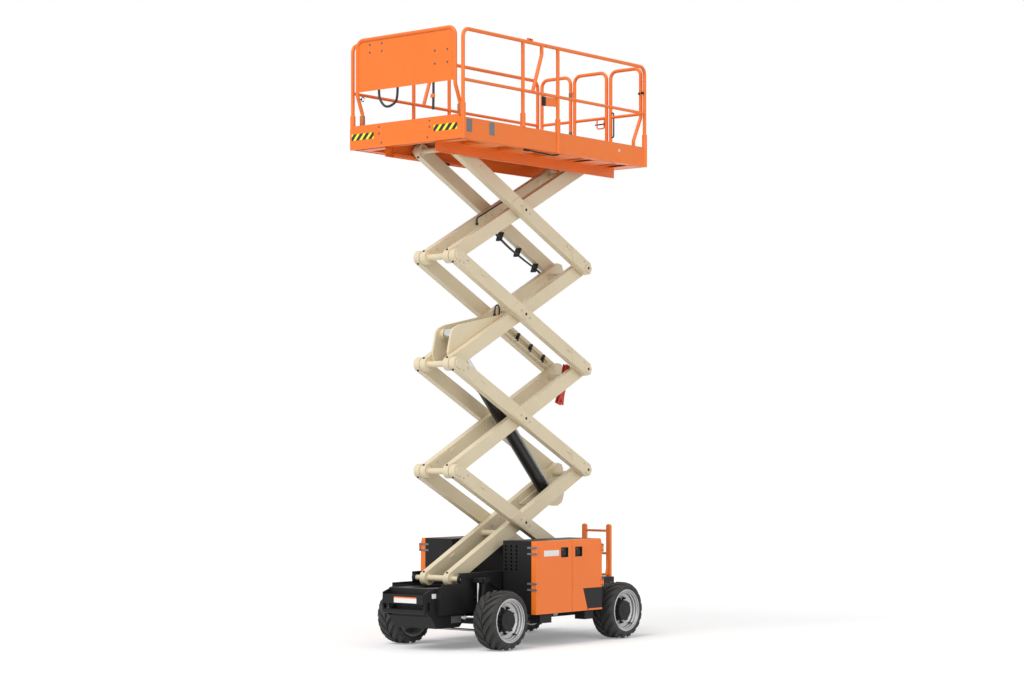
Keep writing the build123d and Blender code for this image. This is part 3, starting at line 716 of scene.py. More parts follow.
def rounded(points: Sequence[Point], radius: float, steps: int = 6) -> list[Vector]:
    """Rounds the corners of a path with arcs.

    Args:
        points: The path's corners.
        radius: The arcs' radius.
        steps: How many runs an arc has.

    Returns:
        The path's points.
    """
    corners = [Vector(point) for point in points]
    path = [corners[0]]
    for before, corner, after in zip(corners, corners[1:], corners[2:]):
        back, on = (before - corner).normalized(), (after - corner).normalized()
        half = back.angle(on) / 2
        reach = min(radius / math.tan(half), (before - corner).length * 0.49,
                    (after - corner).length * 0.49)
        start, end = corner + back * reach, corner + on * reach
        for step in range(steps + 1):
            share = step / steps
            path.append((1 - share) ** 2 * start + 2 * share * (1 - share) * corner
                        + share ** 2 * end)
    return path + [corners[-1]]


def flowing(points: Sequence[Point], steps: int = 8) -> list[Vector]:
    """Runs a smooth curve through points, as a bent hose lies.

    Args:
        points: The points that it passes.
        steps: How many runs lie between two points.

    Returns:
        The curve's points.
    """
    held = [Vector(point) for point in points]
    held = [2 * held[0] - held[1]] + held + [2 * held[-1] - held[-2]]
    path = []
    for a, b, c, d in zip(held, held[1:], held[2:], held[3:]):
        for step in range(steps):
            t = step / steps
            path.append(0.5 * (2 * b + (c - a) * t + (2 * a - 5 * b + 4 * c - d) * t * t
                               + (3 * b - a - 3 * c + d) * t ** 3))
    return path + [held[-2]]


# ---- Repeats ----
class Repeater:
    """Geometry Nodes trees that repeat a small shape, and what turns them into meshes."""

    @staticmethod
    def finish_tree(graph: Graph, copies: bpy.types.Node, material: Any) -> bpy.types.NodeTree:
        """Ends a tree by making its copies real and giving them their material.

        Args:
            graph: The tree's graph.
            copies: The node that puts the copies out.
            material: The material's socket.

        Returns:
            The tree.
        """
        real = graph.add("GeometryNodeRealizeInstances", {0: copies})
        set_finish = graph.add("GeometryNodeSetMaterial", {"Geometry": real, "Material": material})
        graph.add("NodeGroupOutput", {0: set_finish})
        return graph.tree

    @staticmethod
    def start_tree(name: str, sockets: Sequence[tuple]) -> tuple[Graph, bpy.types.Node] | None:
        """Starts a geometry tree, or gives None where it is already built.

        Args:
            name: The tree's name.
            sockets: Its inputs as (name, kind, value).

        Returns:
            The tree's graph and its input node, or None.
        """
        if name in bpy.data.node_groups:
            return None
        graph = Graph(bpy.data.node_groups.new(name, "GeometryNodeTree"))
        graph.socket("Geometry", "Geometry")
        for row in sockets:
            graph.socket(*row)
        graph.socket("Finish", "Material")
        graph.socket("Geometry", "Geometry", out=True)
        return graph, graph.add("NodeGroupInput")

    @classmethod
    def ring(cls) -> bpy.types.NodeTree:
        """Copies a shape round the Y axis and moves the ring to its centre.

        Returns:
            A tree with inputs Count, Half Turn and Centre.
        """
        begun = cls.start_tree("ring_of_copies", (
            ("Count", "Int", 12), ("Half Turn", "Float", 0.0), ("Centre", "Vector", None)))
        if begun is None:
            return bpy.data.node_groups["ring_of_copies"]
        graph, start = begun
        spots = graph.add("GeometryNodePoints", {"Count": start.outputs["Count"],
                                                 "Position": start.outputs["Centre"]})
        index = graph.add("GeometryNodeInputIndex")
        step = graph.maths("DIVIDE", 2 * math.pi, start.outputs["Count"])
        number = graph.maths("ADD", index, start.outputs["Half Turn"])
        turn = graph.add("ShaderNodeCombineXYZ", {"Y": graph.maths("MULTIPLY", number, step)})
        turned = graph.add("FunctionNodeEulerToRotation", {0: turn})
        copies = graph.add("GeometryNodeInstanceOnPoints",
                           {"Points": spots, "Instance": start.outputs["Geometry"],
                            "Rotation": turned})
        return cls.finish_tree(graph, copies, start.outputs["Finish"])

    @classmethod
    def bolts(cls) -> bpy.types.NodeTree:
        """Puts a washer and a hexagon head on each point, facing as it says.

        Returns:
            A tree with inputs Head Radius, Head Height, Washer Radius and Washer Height.
        """
        begun = cls.start_tree("bolt_heads", (
            ("Head Radius", "Float", 0.012), ("Head Height", "Float", 0.008),
            ("Washer Radius", "Float", 0.018), ("Washer Height", "Float", 0.003)))
        if begun is None:
            return bpy.data.node_groups["bolt_heads"]
        graph, start = begun
        parts = []
        for kind, sides in (("Washer", 18), ("Head", 6)):
            disc = graph.add("GeometryNodeMeshCylinder",
                             {"Vertices": sides, "Radius": start.outputs[f"{kind} Radius"],
                              "Depth": start.outputs[f"{kind} Height"]})
            lift = graph.maths("MULTIPLY", start.outputs[f"{kind} Height"], 0.5)
            if kind == "Head":
                lift = graph.maths("ADD", lift, start.outputs["Washer Height"])
            rise = graph.add("ShaderNodeCombineXYZ", {"Z": lift})
            parts.append(graph.add("GeometryNodeTransform",
                                   {"Geometry": disc.outputs["Mesh"], "Translation": rise}))
        bolt = graph.add("GeometryNodeJoinGeometry")
        for part in parts:
            graph.tree.links.new(part.outputs[0], bolt.inputs[0])
        facing = graph.add("GeometryNodeInputNamedAttribute", {"Name": "facing"},
                           data_type="FLOAT_VECTOR")
        turned = graph.add("FunctionNodeAlignRotationToVector",
                           {"Vector": facing.outputs["Attribute"]}, axis="Z")
        copies = graph.add("GeometryNodeInstanceOnPoints",
                           {"Points": start.outputs["Geometry"], "Instance": bolt,
                            "Rotation": turned})
        return cls.finish_tree(graph, copies, start.outputs["Finish"])

    @staticmethod
    def run(tree: bpy.types.NodeTree, mesh: bpy.types.Mesh, finish: Finish,
            **sizes: Any) -> bpy.types.Mesh:
        """Runs a tree on a mesh and gives the plain result.

        Args:
            tree: The tree.
            mesh: What it starts from.
            finish: The copies' finish.
            **sizes: The tree's inputs, with _ for a space.

        Returns:
            A new mesh.
        """
        holder = bpy.data.objects.new("repeat_holder", mesh)
        bpy.context.scene.collection.objects.link(holder)
        modifier = holder.modifiers.new("repeat", "NODES")
        modifier.node_group = tree
        sockets = {item.name: item.identifier for item in tree.interface.items_tree
                   if item.item_type == "SOCKET" and item.in_out == "INPUT"}
        modifier[sockets["Finish"]] = finish.material()
        for name, value in sizes.items():
            modifier[sockets[name.replace("_", " ")]] = value
        graph = bpy.context.evaluated_depsgraph_get()
        made = bpy.data.meshes.new_from_object(holder.evaluated_get(graph), depsgraph=graph)
        holder.modifiers.clear()
        bpy.data.objects.remove(holder)
        bpy.data.meshes.remove(mesh)
        return made


@dataclass
class Bolts:
    """Bolt heads of one size on one body.

    Attributes:
        name: The piece's name.
        body: The body that they ride on.
        size: The radius across a head's corners.
        spots: Their places and the way they face.
    """

    name: str
    body: str
    size: float = 0.012
    spots: list[tuple[Vector, Vector]] = field(default_factory=list)

    def put(self, place: Point, facing: Point, both_sides: bool = False) -> Bolts:
        """Adds one bolt.

        Args:
            place: The middle of its seat.
            facing: The way its head faces.
            both_sides: True to add its mirror image as well.

        Returns:
            The bolts themselves.
        """
        self.spots.append((Vector(place), Vector(facing)))
        if both_sides:
            flip = Vector((1, -1, 1))
            self.spots.append((Vector(place) * flip, Vector(facing) * flip))
        return self

    def piece(self, finish: Finish = STEEL) -> bpy.types.Object:
        """Makes the bolts one piece.

        Args:
            finish: Their finish.

        Returns:
            The piece.
        """
        points = bpy.data.meshes.new(self.name)
        points.from_pydata([place for place, _ in self.spots], [], [])
        facing = points.attributes.new("facing", "FLOAT_VECTOR", "POINT")
        facing.data.foreach_set("vector", [part for _, way in self.spots for part in way])
        made = Repeater.run(Repeater.bolts(), points, finish, Head_Radius=self.size,
                            Head_Height=self.size * 0.7, Washer_Radius=self.size * 1.45,
                            Washer_Height=self.size * 0.25)
        return dress(self.name, made, self.body, finish)


# ---- The studio ----
@dataclass
class Studio:
    """The camera, the floor and the light.

    Attributes:
        camera_place: Where the camera stands.
        heading: The way back from the subject to the camera, from X towards Y.
        lens: The focal length in millimetres, on a sensor 36 mm wide.
        rise: How far the view is shifted up, as a share of its width.
        key_strength: The strength of the lamp from the front.
        fill_strength: The strength of the lamp from the left.
        ambient: The strength of the light from all round.
    """

    camera_place: tuple[float, float, float] = (20.184, 16.708, 2.23)
    heading: float = 0.6885
    lens: float = 79.89
    rise: float = 0.1038
    key_strength: float = 1.9
    fill_strength: float = 0.75
    ambient: float = 0.46

    def build(self) -> None:
        """Builds everything that isn't the machine."""
        self.camera()
        self.floor()
        self.lamp("key", (1.0, 0.05, 1.0), self.key_strength, 38.0)
        self.lamp("fill", (0.3, 1.0, 0.5), self.fill_strength, 60.0)
        self.world()
        bpy.context.scene.view_settings.view_transform = "Standard"

    def camera(self) -> None:
        """Builds the level camera."""
        data = bpy.data.cameras.new("camera")
        data.lens, data.sensor_width, data.shift_y = self.lens, 36.0, self.rise
        data.clip_end = 400.0
        made = bpy.data.objects.new("camera", data)
        made.location = self.camera_place
        made.rotation_euler = (math.pi / 2, 0.0, self.heading + math.pi / 2)
        bpy.context.scene.collection.objects.link(made)
        bpy.context.scene.camera = made

    def floor(self) -> None:
        """Builds the pale floor."""
        reach = 150.0
        mesh = bpy.data.meshes.new("floor")
        mesh.from_pydata([(-reach, -reach, 0), (reach, -reach, 0), (reach, reach, 0),
                          (-reach, reach, 0)], [], [(0, 1, 2, 3)])
        made = bpy.data.objects.new("floor", mesh)
        bpy.context.scene.collection.objects.link(made)
        material = bpy.data.materials.new("floor_white")
        material.use_nodes = True
        graph = Graph(material.node_tree)
        matt = graph.add("ShaderNodeBsdfDiffuse", {"Color": rgba((0.86, 0.86, 0.86))})
        lit = graph.add("ShaderNodeEmission", {"Color": rgba((1, 1, 1)), "Strength": 0.22})
        both = graph.add("ShaderNodeAddShader", {0: matt, 1: lit})
        seen = graph.add("ShaderNodeMixShader", {0: self.seen_directly(graph), 1: matt, 2: both})
        graph.add("ShaderNodeOutputMaterial", {"Surface": seen})
        mesh.materials.append(material)

    @staticmethod
    def seen_directly(graph: Graph) -> bpy.types.Node:
        """Gives 1 for a ray from the camera, a mirror or glass.

        Args:
            graph: The tree to build in.

        Returns:
            The node with the result.
        """
        path = graph.add("ShaderNodeLightPath")
        first = graph.maths("MAXIMUM", path.outputs["Is Camera Ray"],
                            path.outputs["Is Glossy Ray"])
        return graph.maths("MAXIMUM", first, path.outputs["Is Transmission Ray"])

    def world(self) -> None:
        """Builds the white surroundings and the light from all round."""
        world = bpy.data.worlds.new("studio")
        bpy.context.scene.world = world
        world.use_nodes = True
        graph = Graph(world.node_tree)
        strength = graph.spread(self.seen_directly(graph), 0.0, 1.0, self.ambient, 1.0)
        sky = graph.add("ShaderNodeBackground", {"Color": rgba((1, 1, 1)),
                                                 "Strength": strength})
        graph.add("ShaderNodeOutputWorld", {"Surface": sky})

    @staticmethod
    def lamp(name: str, towards: Point, strength: float, softness: float) -> None:
        """Builds a distant lamp.

        Args:
            name: The lamp's name.
            towards: The way from the machine to the lamp.
            strength: Its strength.
            softness: Its width in degrees.
        """
        data = bpy.data.lights.new(name, "SUN")
        data.energy, data.angle = strength, math.radians(softness)
        made = bpy.data.objects.new(name, data)
        made.rotation_mode = "QUATERNION"
        made.rotation_quaternion = Vector(towards).to_track_quat("Z", "Y")
        bpy.context.scene.collection.objects.link(made)


# ---- The scissor arms ----
class Pair(Enum):
    """The two pairs of arms of a stage."""

    OUTER = "outer"
    INNER = "inner"


@dataclass
class ScissorStack:
    """The arms' doublers, bosses, bolts and hoses, stage by stage.

    Attributes:
        depth: The depth of an arm.
        outer_face: The y of the outer arms' outer face.
        inner_face: The y of the inner arms' inner face.
        split: The y of the gap between the outer and inner arms.
        doubler: The thickness of the plates welded over the ends and the middle.
        hose_radius: The radius of a hose.
    """

    depth: float = 0.16
    outer_face: float = 0.298
    inner_face: float = 0.133
    split: float = 0.2155
    doubler: float = 0.006
    hose_radius: float = 0.009

    def ends(self, stage: int, pair: Pair) -> tuple[Vector, Vector]:
        """Gives an arm's two pin places at y = 0, front first.

        Args:
            stage: From 1, the lowest.
            pair: Which arms.

        Returns:
            The front pin's place and the rear pin's.
        """
        rise = PINS["fold_1"].z - PINS["lift"].z
        rear_x, front_x = PINS["lift"].x, PINS["fold_1"].x
        low = PINS["lift"].z + rise * (stage - 1)
        high = low + rise
        if pair is Pair.OUTER:
            return Vector((front_x, 0, high)), Vector((rear_x, 0, low))
        return Vector((front_x, 0, low)), Vector((rear_x, 0, high))

    def axes(self, stage: int, pair: Pair) -> tuple[Vector, Vector]:
        """Gives an arm's own directions.

        Args:
            stage: From 1, the lowest.
            pair: Which arms.

        Returns:
            The way from the front pin to the rear one, and the way up across the arm.
        """
        front, rear = self.ends(stage, pair)
        way = (rear - front).normalized()
        up = Vector((0, 1, 0)).cross(way)
        return way, up if up.z > 0 else -up

    def length(self, stage: int, pair: Pair) -> float:
        """Gives an arm's length from pin to pin."""
        front, rear = self.ends(stage, pair)
        return (front - rear).length

    def lay(self, stage: int, pair: Pair, along: float, above: float, y: float) -> Vector:
        """Gives a point measured along an arm.

        Args:
            stage: From 1, the lowest.
            pair: Which arms.
            along: How far from the front pin.
            above: How far above the middle line.
            y: How far to the left of the machine's middle.

        Returns:
            The point.
        """
        way, up = self.axes(stage, pair)
        return self.ends(stage, pair)[0] + way * along + up * above + Vector((0, y, 0))

    def plate(self, shape: Shape, stage: int, pair: Pair, outline: Sequence[Point],
              y: float, thick: float) -> None:
        """Adds a plate lying on an arm's side.

        Args:
            shape: The shape that it is added to.
            stage: From 1, the lowest.
            pair: Which arms.
            outline: Its corners as (along, above).
            y: The y of its right face.
            thick: Its thickness.
        """
        way, up = self.axes(stage, pair)
        face = y if way.cross(up).y > 0 else y + thick
        shape.prism(outline, self.ends(stage, pair)[0] + Vector((0, face, 0)), way, up, thick)

    def build(self) -> None:
        """Dresses every stage."""
        for stage in range(1, STAGES + 1):
            for pair in Pair:
                self.dress_pair(stage, pair)
            self.bolts(stage)
            paint(CREAM, *(f"{name}_{stage}" for name in ("outer_arms", "inner_arms",
                                                          "pivot_pins")))
        paint(CREAM, "top_slide_shaft")
        paint(BLACK, "track_rollers")
        self.hoses()
        self.pivot_caps()
        self.hose_tray()
        self.prop()

    def dress_pair(self, stage: int, pair: Pair) -> None:
        """Adds doublers, end bosses and pads to one pair of arms.

        Args:
            stage: From 1, the lowest.
            pair: Which arms.
        """
        length = self.length(stage, pair)
        half = self.depth / 2
        body = f"{pair.value}_{stage}"
        shape = Shape(f"{body}_doublers", body)
        face = self.outer_face if pair is Pair.OUTER else self.inner_face - self.doubler
        lean = 0.045
        # The middle doubler is a parallelogram, and the end ones have one slanted edge.
        middle = length / 2
        inset = half - 0.012
        spans = [(middle - 0.21, middle + 0.21, lean, lean), (0.05, 0.34, 0.0, lean),
                 (length - 0.34, length - 0.03, -lean, 0.0)]
        if pair is Pair.INNER and stage in (1, 3):
            spans = spans[:1] if stage == 3 else []
        for low, high, low_lean, high_lean in spans:
            outline = [(low - low_lean, -inset), (high - high_lean, -inset),
                       (high + high_lean, inset), (low + low_lean, inset)]
            self.plate(shape, stage, pair, outline, face, self.doubler)
        for along in (0.42, length - 0.46):
            outline = [(along, 0.012), (along + 0.075, 0.012), (along + 0.075, 0.04),
                       (along, 0.04)]
            self.plate(shape, stage, pair, outline, face, self.doubler * 1.6)
        shape.on_both_sides().piece(CREAM, edge=0.0018)
        self.end_bosses(stage, pair)

    def end_bosses(self, stage: int, pair: Pair) -> None:
        """Adds the forked castings that close the front end of each arm.

        Args:
            stage: From 1, the lowest.
            pair: Which arms.
        """
        body = f"{pair.value}_{stage}"
        front, _ = self.ends(stage, pair)
        y_low, y_high = ((self.split + 0.005, self.outer_face - 0.002) if pair is Pair.OUTER
                         else (self.inner_face + 0.002, self.split - 0.005))
        centre = (y_low + y_high) / 2
        shape = Shape(f"{body}_end_bosses", body)
        shape.lathe((front.x, y_low - 0.003, front.z), (0, 1, 0),
                    [(0, 0.05), (0.004, 0.058), (y_high - y_low + 0.002, 0.058),
                     (y_high - y_low + 0.006, 0.05)], 28)
        for up in (-1, 1):
            place = self.lay(stage, pair, 0.028, up * 0.046, centre)
            shape.bar(place, place + Vector((0.052, 0, up * 0.012)), 0.024, 16, 0.004)
        shape.on_both_sides().piece(CREAM, edge=0.001)
        dark = Shape(f"{body}_end_bolts", body)
        for up in (-1, 1):
            place = self.lay(stage, pair, 0.028, up * 0.046, centre)
            way = Vector((0.052, 0, up * 0.012))
            dark.bar(place + way, place + way * 1.06, 0.0155, 12)
        dark.on_both_sides().piece(NYLON)

    def bolts(self, stage: int) -> None:
        """Adds keeper bolts by the pins, and grease points.

        Args:
            stage: From 1, the lowest.
        """
        for pair in Pair:
            body = f"{pair.value}_{stage}"
            length = self.length(stage, pair)
            face = self.outer_face + self.doubler if pair is Pair.OUTER else self.inner_face
            way = 1 if pair is Pair.OUTER else -1
            if pair is Pair.INNER:
                face -= self.doubler
            group = Bolts(f"{body}_keeper_bolts", body, 0.0085)
            for along, above in ((length / 2 + 0.085, 0.0), (length / 2 - 0.085, 0.0),
                                 (length - 0.1, 0.035), (0.11, -0.03), (0.16, 0.03)):
                if pair is Pair.INNER and stage in (1, 3) and abs(along - length / 2) > 0.2:
                    continue
                group.put(self.lay(stage, pair, along, above, face), (0, way, 0), True)
            group.piece()

    def hoses(self) -> None:
        """Hangs the hose bundle under the right outer arm of the top stage, and the loops."""
        side = -(self.outer_face + self.split) / 2
        bundle = Shape("hose_bundle", "outer_4")
        for number, y in enumerate((side - 0.026, side, side + 0.026)):
            drop = 0.012 * number
            points = [self.lay(4, Pair.OUTER, along, above - drop, y) for along, above in (
                (1.36, -0.07), (1.5, -0.125), (1.8, -0.15), (2.1, -0.14), (2.4, -0.12),
                (2.6, -0.13))]
            points += [Vector((-1.3, y, 4.3 - drop)), Vector((-1.29, y, 4.24)),
                       Vector((-1.22, y * 0.93, 4.225)), Vector((-1.14, y * 0.88, 4.28))]
            bundle.tube(flowing(points, 5), self.hose_radius, 8)
        bundle.piece(HOSE)
        clips = Shape("hose_bundle_clips", "outer_4")
        for along in (1.62, 1.98, 2.34):
            outline = [(along - 0.012, -0.19), (along + 0.012, -0.19), (along + 0.012, -0.075),
                       (along - 0.012, -0.075)]
            self.plate(clips, 4, Pair.OUTER, outline, side - 0.04, 0.08)
        clips.piece(NYLON, edge=0.006)
        loops = Shape("top_stage_hose", "inner_4")
        loops.tube(flowing([(-0.3, -0.118, 5.175), (-0.087, -0.118, 5.079),
                            (0.249, -0.118, 4.913), (0.356, -0.118, 4.859),
                            (0.362, -0.118, 4.79)], 6), self.hose_radius, 8)
        loops.bar((0.362, -0.128, 4.792), (0.362, -0.112, 4.792), 0.016, 12)
        loops.piece(HOSE)
        loop = Shape("third_stage_hose", "inner_3")
        loop.tube(flowing([(0.05, -0.118, 3.76), (0.045, -0.11, 3.86), (0.0, -0.105, 3.875),
                           (-0.03, -0.11, 3.82), (-0.02, -0.118, 3.74)], 6),
                  self.hose_radius, 8)
        loop.bar((0.05, -0.131, 3.762), (0.05, -0.108, 3.762), 0.017, 12)
        loop.bar((-0.02, -0.131, 3.742), (-0.02, -0.108, 3.742), 0.017, 12)
        loop.piece(HOSE)
        clamp = Shape("hose_clamp", "inner_2")
        clamp.box((0.93, -0.19, 2.0), (1.01, -0.15, 2.05))
        clamp.bar((0.9, -0.17, 2.06), (1.04, -0.17, 2.0), 0.012, 10)
        clamp.piece(NYLON, edge=0.006)

    def pivot_caps(self) -> None:
        """Adds the dark bolt in the middle of every pivot and rear pin."""
        for stage in range(1, STAGES + 1):
            front, rear = self.ends(stage, Pair.OUTER)
            caps = Shape(f"pivot_caps_{stage}", f"outer_{stage}")
            face = self.outer_face + 0.0125
            for place in ((front + rear) / 2, rear):
                spot = Vector((place.x, face, place.z))
                caps.bar(spot, spot + Vector((0, 0.004, 0)), 0.0165, 12, 0.001)
            caps.on_both_sides().piece(NYLON)

    def hose_tray(self) -> None:
        """Adds the folded tray with its clips along the right outer arm of the third stage."""
        length = self.length(3, Pair.OUTER)
        tray = Shape("hose_tray", "outer_3")
        start, end = length / 2 + 0.1, length - 0.16
        low, high, y = -0.06, 0.012, -self.split + 0.006
        for above, depth in ((low, 0.05), (high, 0.03)):
            outline = [(start, above), (end, above), (end, above + 0.006),
                       (start, above + 0.006)]
            self.plate(tray, 3, Pair.OUTER, outline, y, depth)
        tray.piece(CREAM, edge=0.001)
        clips = Shape("hose_tray_clips", "outer_3")
        step = (end - start) / 4
        for number in range(4):
            along = start + step * (number + 0.5)
            outline = [(along - 0.01, low), (along + 0.01, low), (along + 0.01, high + 0.03),
                       (along - 0.01, high + 0.03)]
            self.plate(clips, 3, Pair.OUTER, outline, y + 0.012, 0.045)
        clips.piece(NYLON, edge=0.003)

    def prop(self) -> None:
        """Adds the red maintenance prop that hangs by the rear of the second stage."""
        y, thick = 0.1, 0.012
        top, low = Vector((-1.01, y, 3.21)), Vector((-0.867, y, 2.747))
        shape = Shape("maintenance_prop", "inner_2")
        way = (low - top).normalized()
        across = Vector((0, 1, 0)).cross(way)
        length = (low - top).length
        for offset in (-0.02, 0.02):
            shape.prism([(0, -0.038), (length - 0.1, -0.04), (length, -0.055), (length, 0.055),
                         (length - 0.1, 0.04), (0, 0.038)],
                        top + Vector((0, offset, 0)), way, across, thick)
        for share in (0.08, 0.92):
            middle = top.lerp(low, share)
            shape.bar(middle + Vector((0, -0.04, 0)), middle + Vector((0, 0.05, 0)), 0.016, 16,
                      0.002)
        shape.piece(RED, edge=0.0012)


# ---- The lift cylinders ----
@dataclass
class LiftCylinder:
    """One lift cylinder's gland, weld rings, ports and pipes.

    Attributes:
        name: The first word of its nodes' names.
        barrel_radius: The barrel's radius.
        rod_radius: The rod's radius.
        barrel_share: How much of the way the barrel reaches.
    """

    name: str
    barrel_radius: float
    rod_radius: float
    barrel_share: float

    def build(self) -> None:
        """Dresses the barrel and the rod."""
        barrel, rod = f"{self.name}_cylinder_barrel", f"{self.name}_cylinder_rod"
        paint(CYLINDER, barrel)
        paint(CHROME, rod)
        foot = PINS[f"{self.name}_cylinder_pivot"]
        row = next(row for row in frame["joints"] if row["name"] == f"{self.name}_cylinder_stroke")
        axis = Vector(row["axis"]).normalized()
        _, high = BOXES[rod]
        eye_radius = 0.062
        reach = (high.z - eye_radius - foot.z) / axis.z
        end = reach * self.barrel_share
        body = f"{self.name}_barrel"
        shape = Shape(f"{self.name}_cylinder_gland", body)
        r = self.barrel_radius
        shape.lathe(foot + axis * (end - 0.09), axis,
                    [(0, r), (0.004, r + 0.007), (0.06, r + 0.007), (0.064, r - 0.006),
                     (0.104, r - 0.006), (0.11, r - 0.014)], 36)
        shape.lathe(foot + axis * 0.05, axis,
                    [(0, r), (0.006, r + 0.006), (0.03, r + 0.006), (0.04, r)], 36)
        side = Vector((0, 1, 0))
        port = foot + axis * 0.16
        shape.bar(port + side * (r - 0.01), port + side * (r + 0.035), 0.02, 16, 0.002)
        far = foot + axis * (end - 0.14)
        shape.bar(far + side * (r - 0.01), far + side * (r + 0.035), 0.018, 16, 0.002)
        shape.piece(CYLINDER, edge=0.001)
        pipe = Shape(f"{self.name}_cylinder_pipe", body)
        up = axis.cross(side)
        y = r + 0.024
        run = [port + side * y, port + side * (y + 0.018) + axis * 0.03,
               port + side * (y + 0.016) + axis * 0.12 + up * 0.01,
               foot + axis * (end - 0.3) + side * (y + 0.012) + up * 0.01,
               far + side * (y + 0.018) - axis * 0.03, far + side * y]
        pipe.tube(flowing(run, 6), 0.008, 10)
        pipe.piece(STEEL)
        collar = Shape(f"{self.name}_rod_eye_weld", f"{self.name}_rod")
        tip = foot + axis * (reach - eye_radius * 0.95)
        collar.lathe(tip - axis * 0.03, axis,
                     [(0, self.rod_radius), (0.012, self.rod_radius + 0.008),
                      (0.03, self.rod_radius + 0.01)], 28)
        collar.piece(CYLINDER)


# ---- The wheels ----
@dataclass
class Wheel:
    """One wheel: a chevron tyre on a stepped deep rim, with its hub.

    Attributes:
        side: left or right.
        end: front or rear.
        radius: The tyre's outside radius.
        half_width: Half the tyre's width.
        bead: The radius where the tyre meets the rim.
        lugs: How many lugs each half of the tread has.
    """

    side: str
    end: str
    radius: float = 0.33
    half_width: float = 0.15
    bead: float = 0.246
    lugs: int = 17

    @property
    def middle(self) -> Vector:
        """The wheel's middle."""
        low, high = BOXES[f"{self.side}_{self.end}_tyre"]
        return (low + high) / 2

    @property
    def body(self) -> str:
        """The body that the wheel is."""
        return f"{self.side}_{self.end}_wheel"

    @property
    def out(self) -> float:
        """1 where the wheel's outside faces the left, or -1."""
        return SIDES[self.side]

    def turned(self, shape: Shape, profile: Sequence[Point], sides: int = 64) -> Shape:
        """Turns a closed half section about the axle.

        Args:
            shape: The shape that it is added to.
            profile: Points (outwards from the middle, radius).
            sides: How many flats go round.

        Returns:
            The shape.
        """
        rings = []
        for step in range(sides):
            turn = 2 * math.pi * step / sides
            rings.append([shape.mesh.verts.new(self.middle + Vector(
                (r * math.sin(turn), self.out * y, r * math.cos(turn)))) for y, r in profile])
        for first, second in zip(rings, rings[1:] + rings[:1]):
            shape.join(first, second)
        return shape

    def lug(self, hand: int) -> bpy.types.Mesh:
        """Shapes one lug of the tread about the Y axis, at the origin.

        Args:
            hand: 1 for the outer half of the tread, -1 for the inner.

        Returns:
            The lug's mesh.
        """
        shape = Shape("lug", self.body)
        top = self.radius
        stations = [(0.006, top - 0.001, 0.3, 0.0), (0.05, top, 0.302, 0.16),
                    (0.095, top - 0.003, 0.3, 0.33), (0.13, top - 0.014, 0.292, 0.45),
                    (0.1485, top - 0.034, 0.28, 0.5), (0.1495, top - 0.052, 0.268, 0.52)]
        rings = []
        for y, high, low, turn in stations:
            ring = []
            for r, wide in ((low, -0.043), (high, -0.034), (high, 0.034), (low, 0.043)):
                at = wide / self.radius - turn
                ring.append(shape.mesh.verts.new((r * math.sin(at), hand * y * self.out,
                                                  r * math.cos(at))))
            rings.append(ring)
        return shape.skin(rings).data()

    def build(self) -> None:
        """Builds the tyre, the rim, the hub and the nuts."""
        name = f"{self.side}_{self.end}"
        bead, wide = self.bead, self.half_width
        tyre = self.turned(Shape(f"{name}_tyre_tread", self.body),
                           [(-0.135, bead - 0.002), (-0.147, bead + 0.01), (-wide + 0.001, 0.272),
                            (-0.146, 0.29), (-0.13, 0.302), (-0.09, 0.307), (0.0, 0.3085),
                            (0.09, 0.307), (0.13, 0.302), (0.146, 0.29), (wide - 0.001, 0.272),
                            (0.147, bead + 0.01), (0.135, bead - 0.002)])
        for hand in (-1, 1):
            tyre.take(Repeater.run(Repeater.ring(), self.lug(hand), RUBBER, Count=self.lugs,
                                   Half_Turn=0.25 * hand, Centre=self.middle))
        tyre.piece(RUBBER, edge=0.0025, replaces=[f"{name}_tyre"], smooth=40)
        rim = [(0.135, bead), (0.1445, bead - 0.001), (0.148, bead - 0.006), (0.146, bead - 0.013),
               (0.13, bead - 0.017), (0.125, bead - 0.026), (0.103, bead - 0.031),
               (0.097, bead - 0.041), (0.074, bead - 0.047), (0.066, bead - 0.06),
               (0.054, 0.165), (0.05, 0.105), (0.036, 0.105), (0.036, 0.165),
               (0.03, bead - 0.052), (-0.06, bead - 0.042), (-0.1, bead - 0.026),
               (-0.142, bead - 0.014), (-0.146, bead - 0.003), (-0.135, bead)]
        self.turned(Shape(f"{name}_stepped_rim", self.body), rim).piece(
            SILVER, replaces=[f"{name}_rim"], smooth=28)
        hub = [(-0.05, 0.06), (-0.05, 0.075), (0.03, 0.124), (0.064, 0.124), (0.07, 0.119),
               (0.07, 0.116), (0.112, 0.114), (0.118, 0.109), (0.1185, 0.05), (0.1215, 0.046),
               (0.1225, 0.03), (0.1225, 0.0005), (-0.05, 0.0005)]
        self.turned(Shape(f"{name}_hub", self.body), hub, 48).piece(BLACK, smooth=28)
        nuts = Shape(f"{name}_wheel_nuts", self.body)
        for step in range(9):
            turn = 2 * math.pi * (step + 0.5) / 9
            place = self.middle + Vector((0.143 * math.sin(turn), self.out * 0.05,
                                          0.143 * math.cos(turn)))
            nuts.bar(place, place + Vector((0, self.out * 0.006, 0)), 0.02, 14, 0.001)
            nuts.bar(place, place + Vector((0, self.out * 0.028, 0)), 0.0155, 6, 0.002)
            nuts.bar(place, place + Vector((0, self.out * 0.042, 0)), 0.008, 10, 0.001)
        nuts.piece(NYLON)
        valve = Shape(f"{name}_valve", self.body)
        place = self.middle + Vector((-0.12, self.out * 0.08, -0.152))
        valve.bar(place, place + Vector((-0.006, self.out * 0.04, -0.008)), 0.007, 10, 0.001)
        valve.bar(place, place + Vector((-0.002, self.out * 0.012, -0.003)), 0.012, 12, 0.002)
        valve.piece(NYLON)


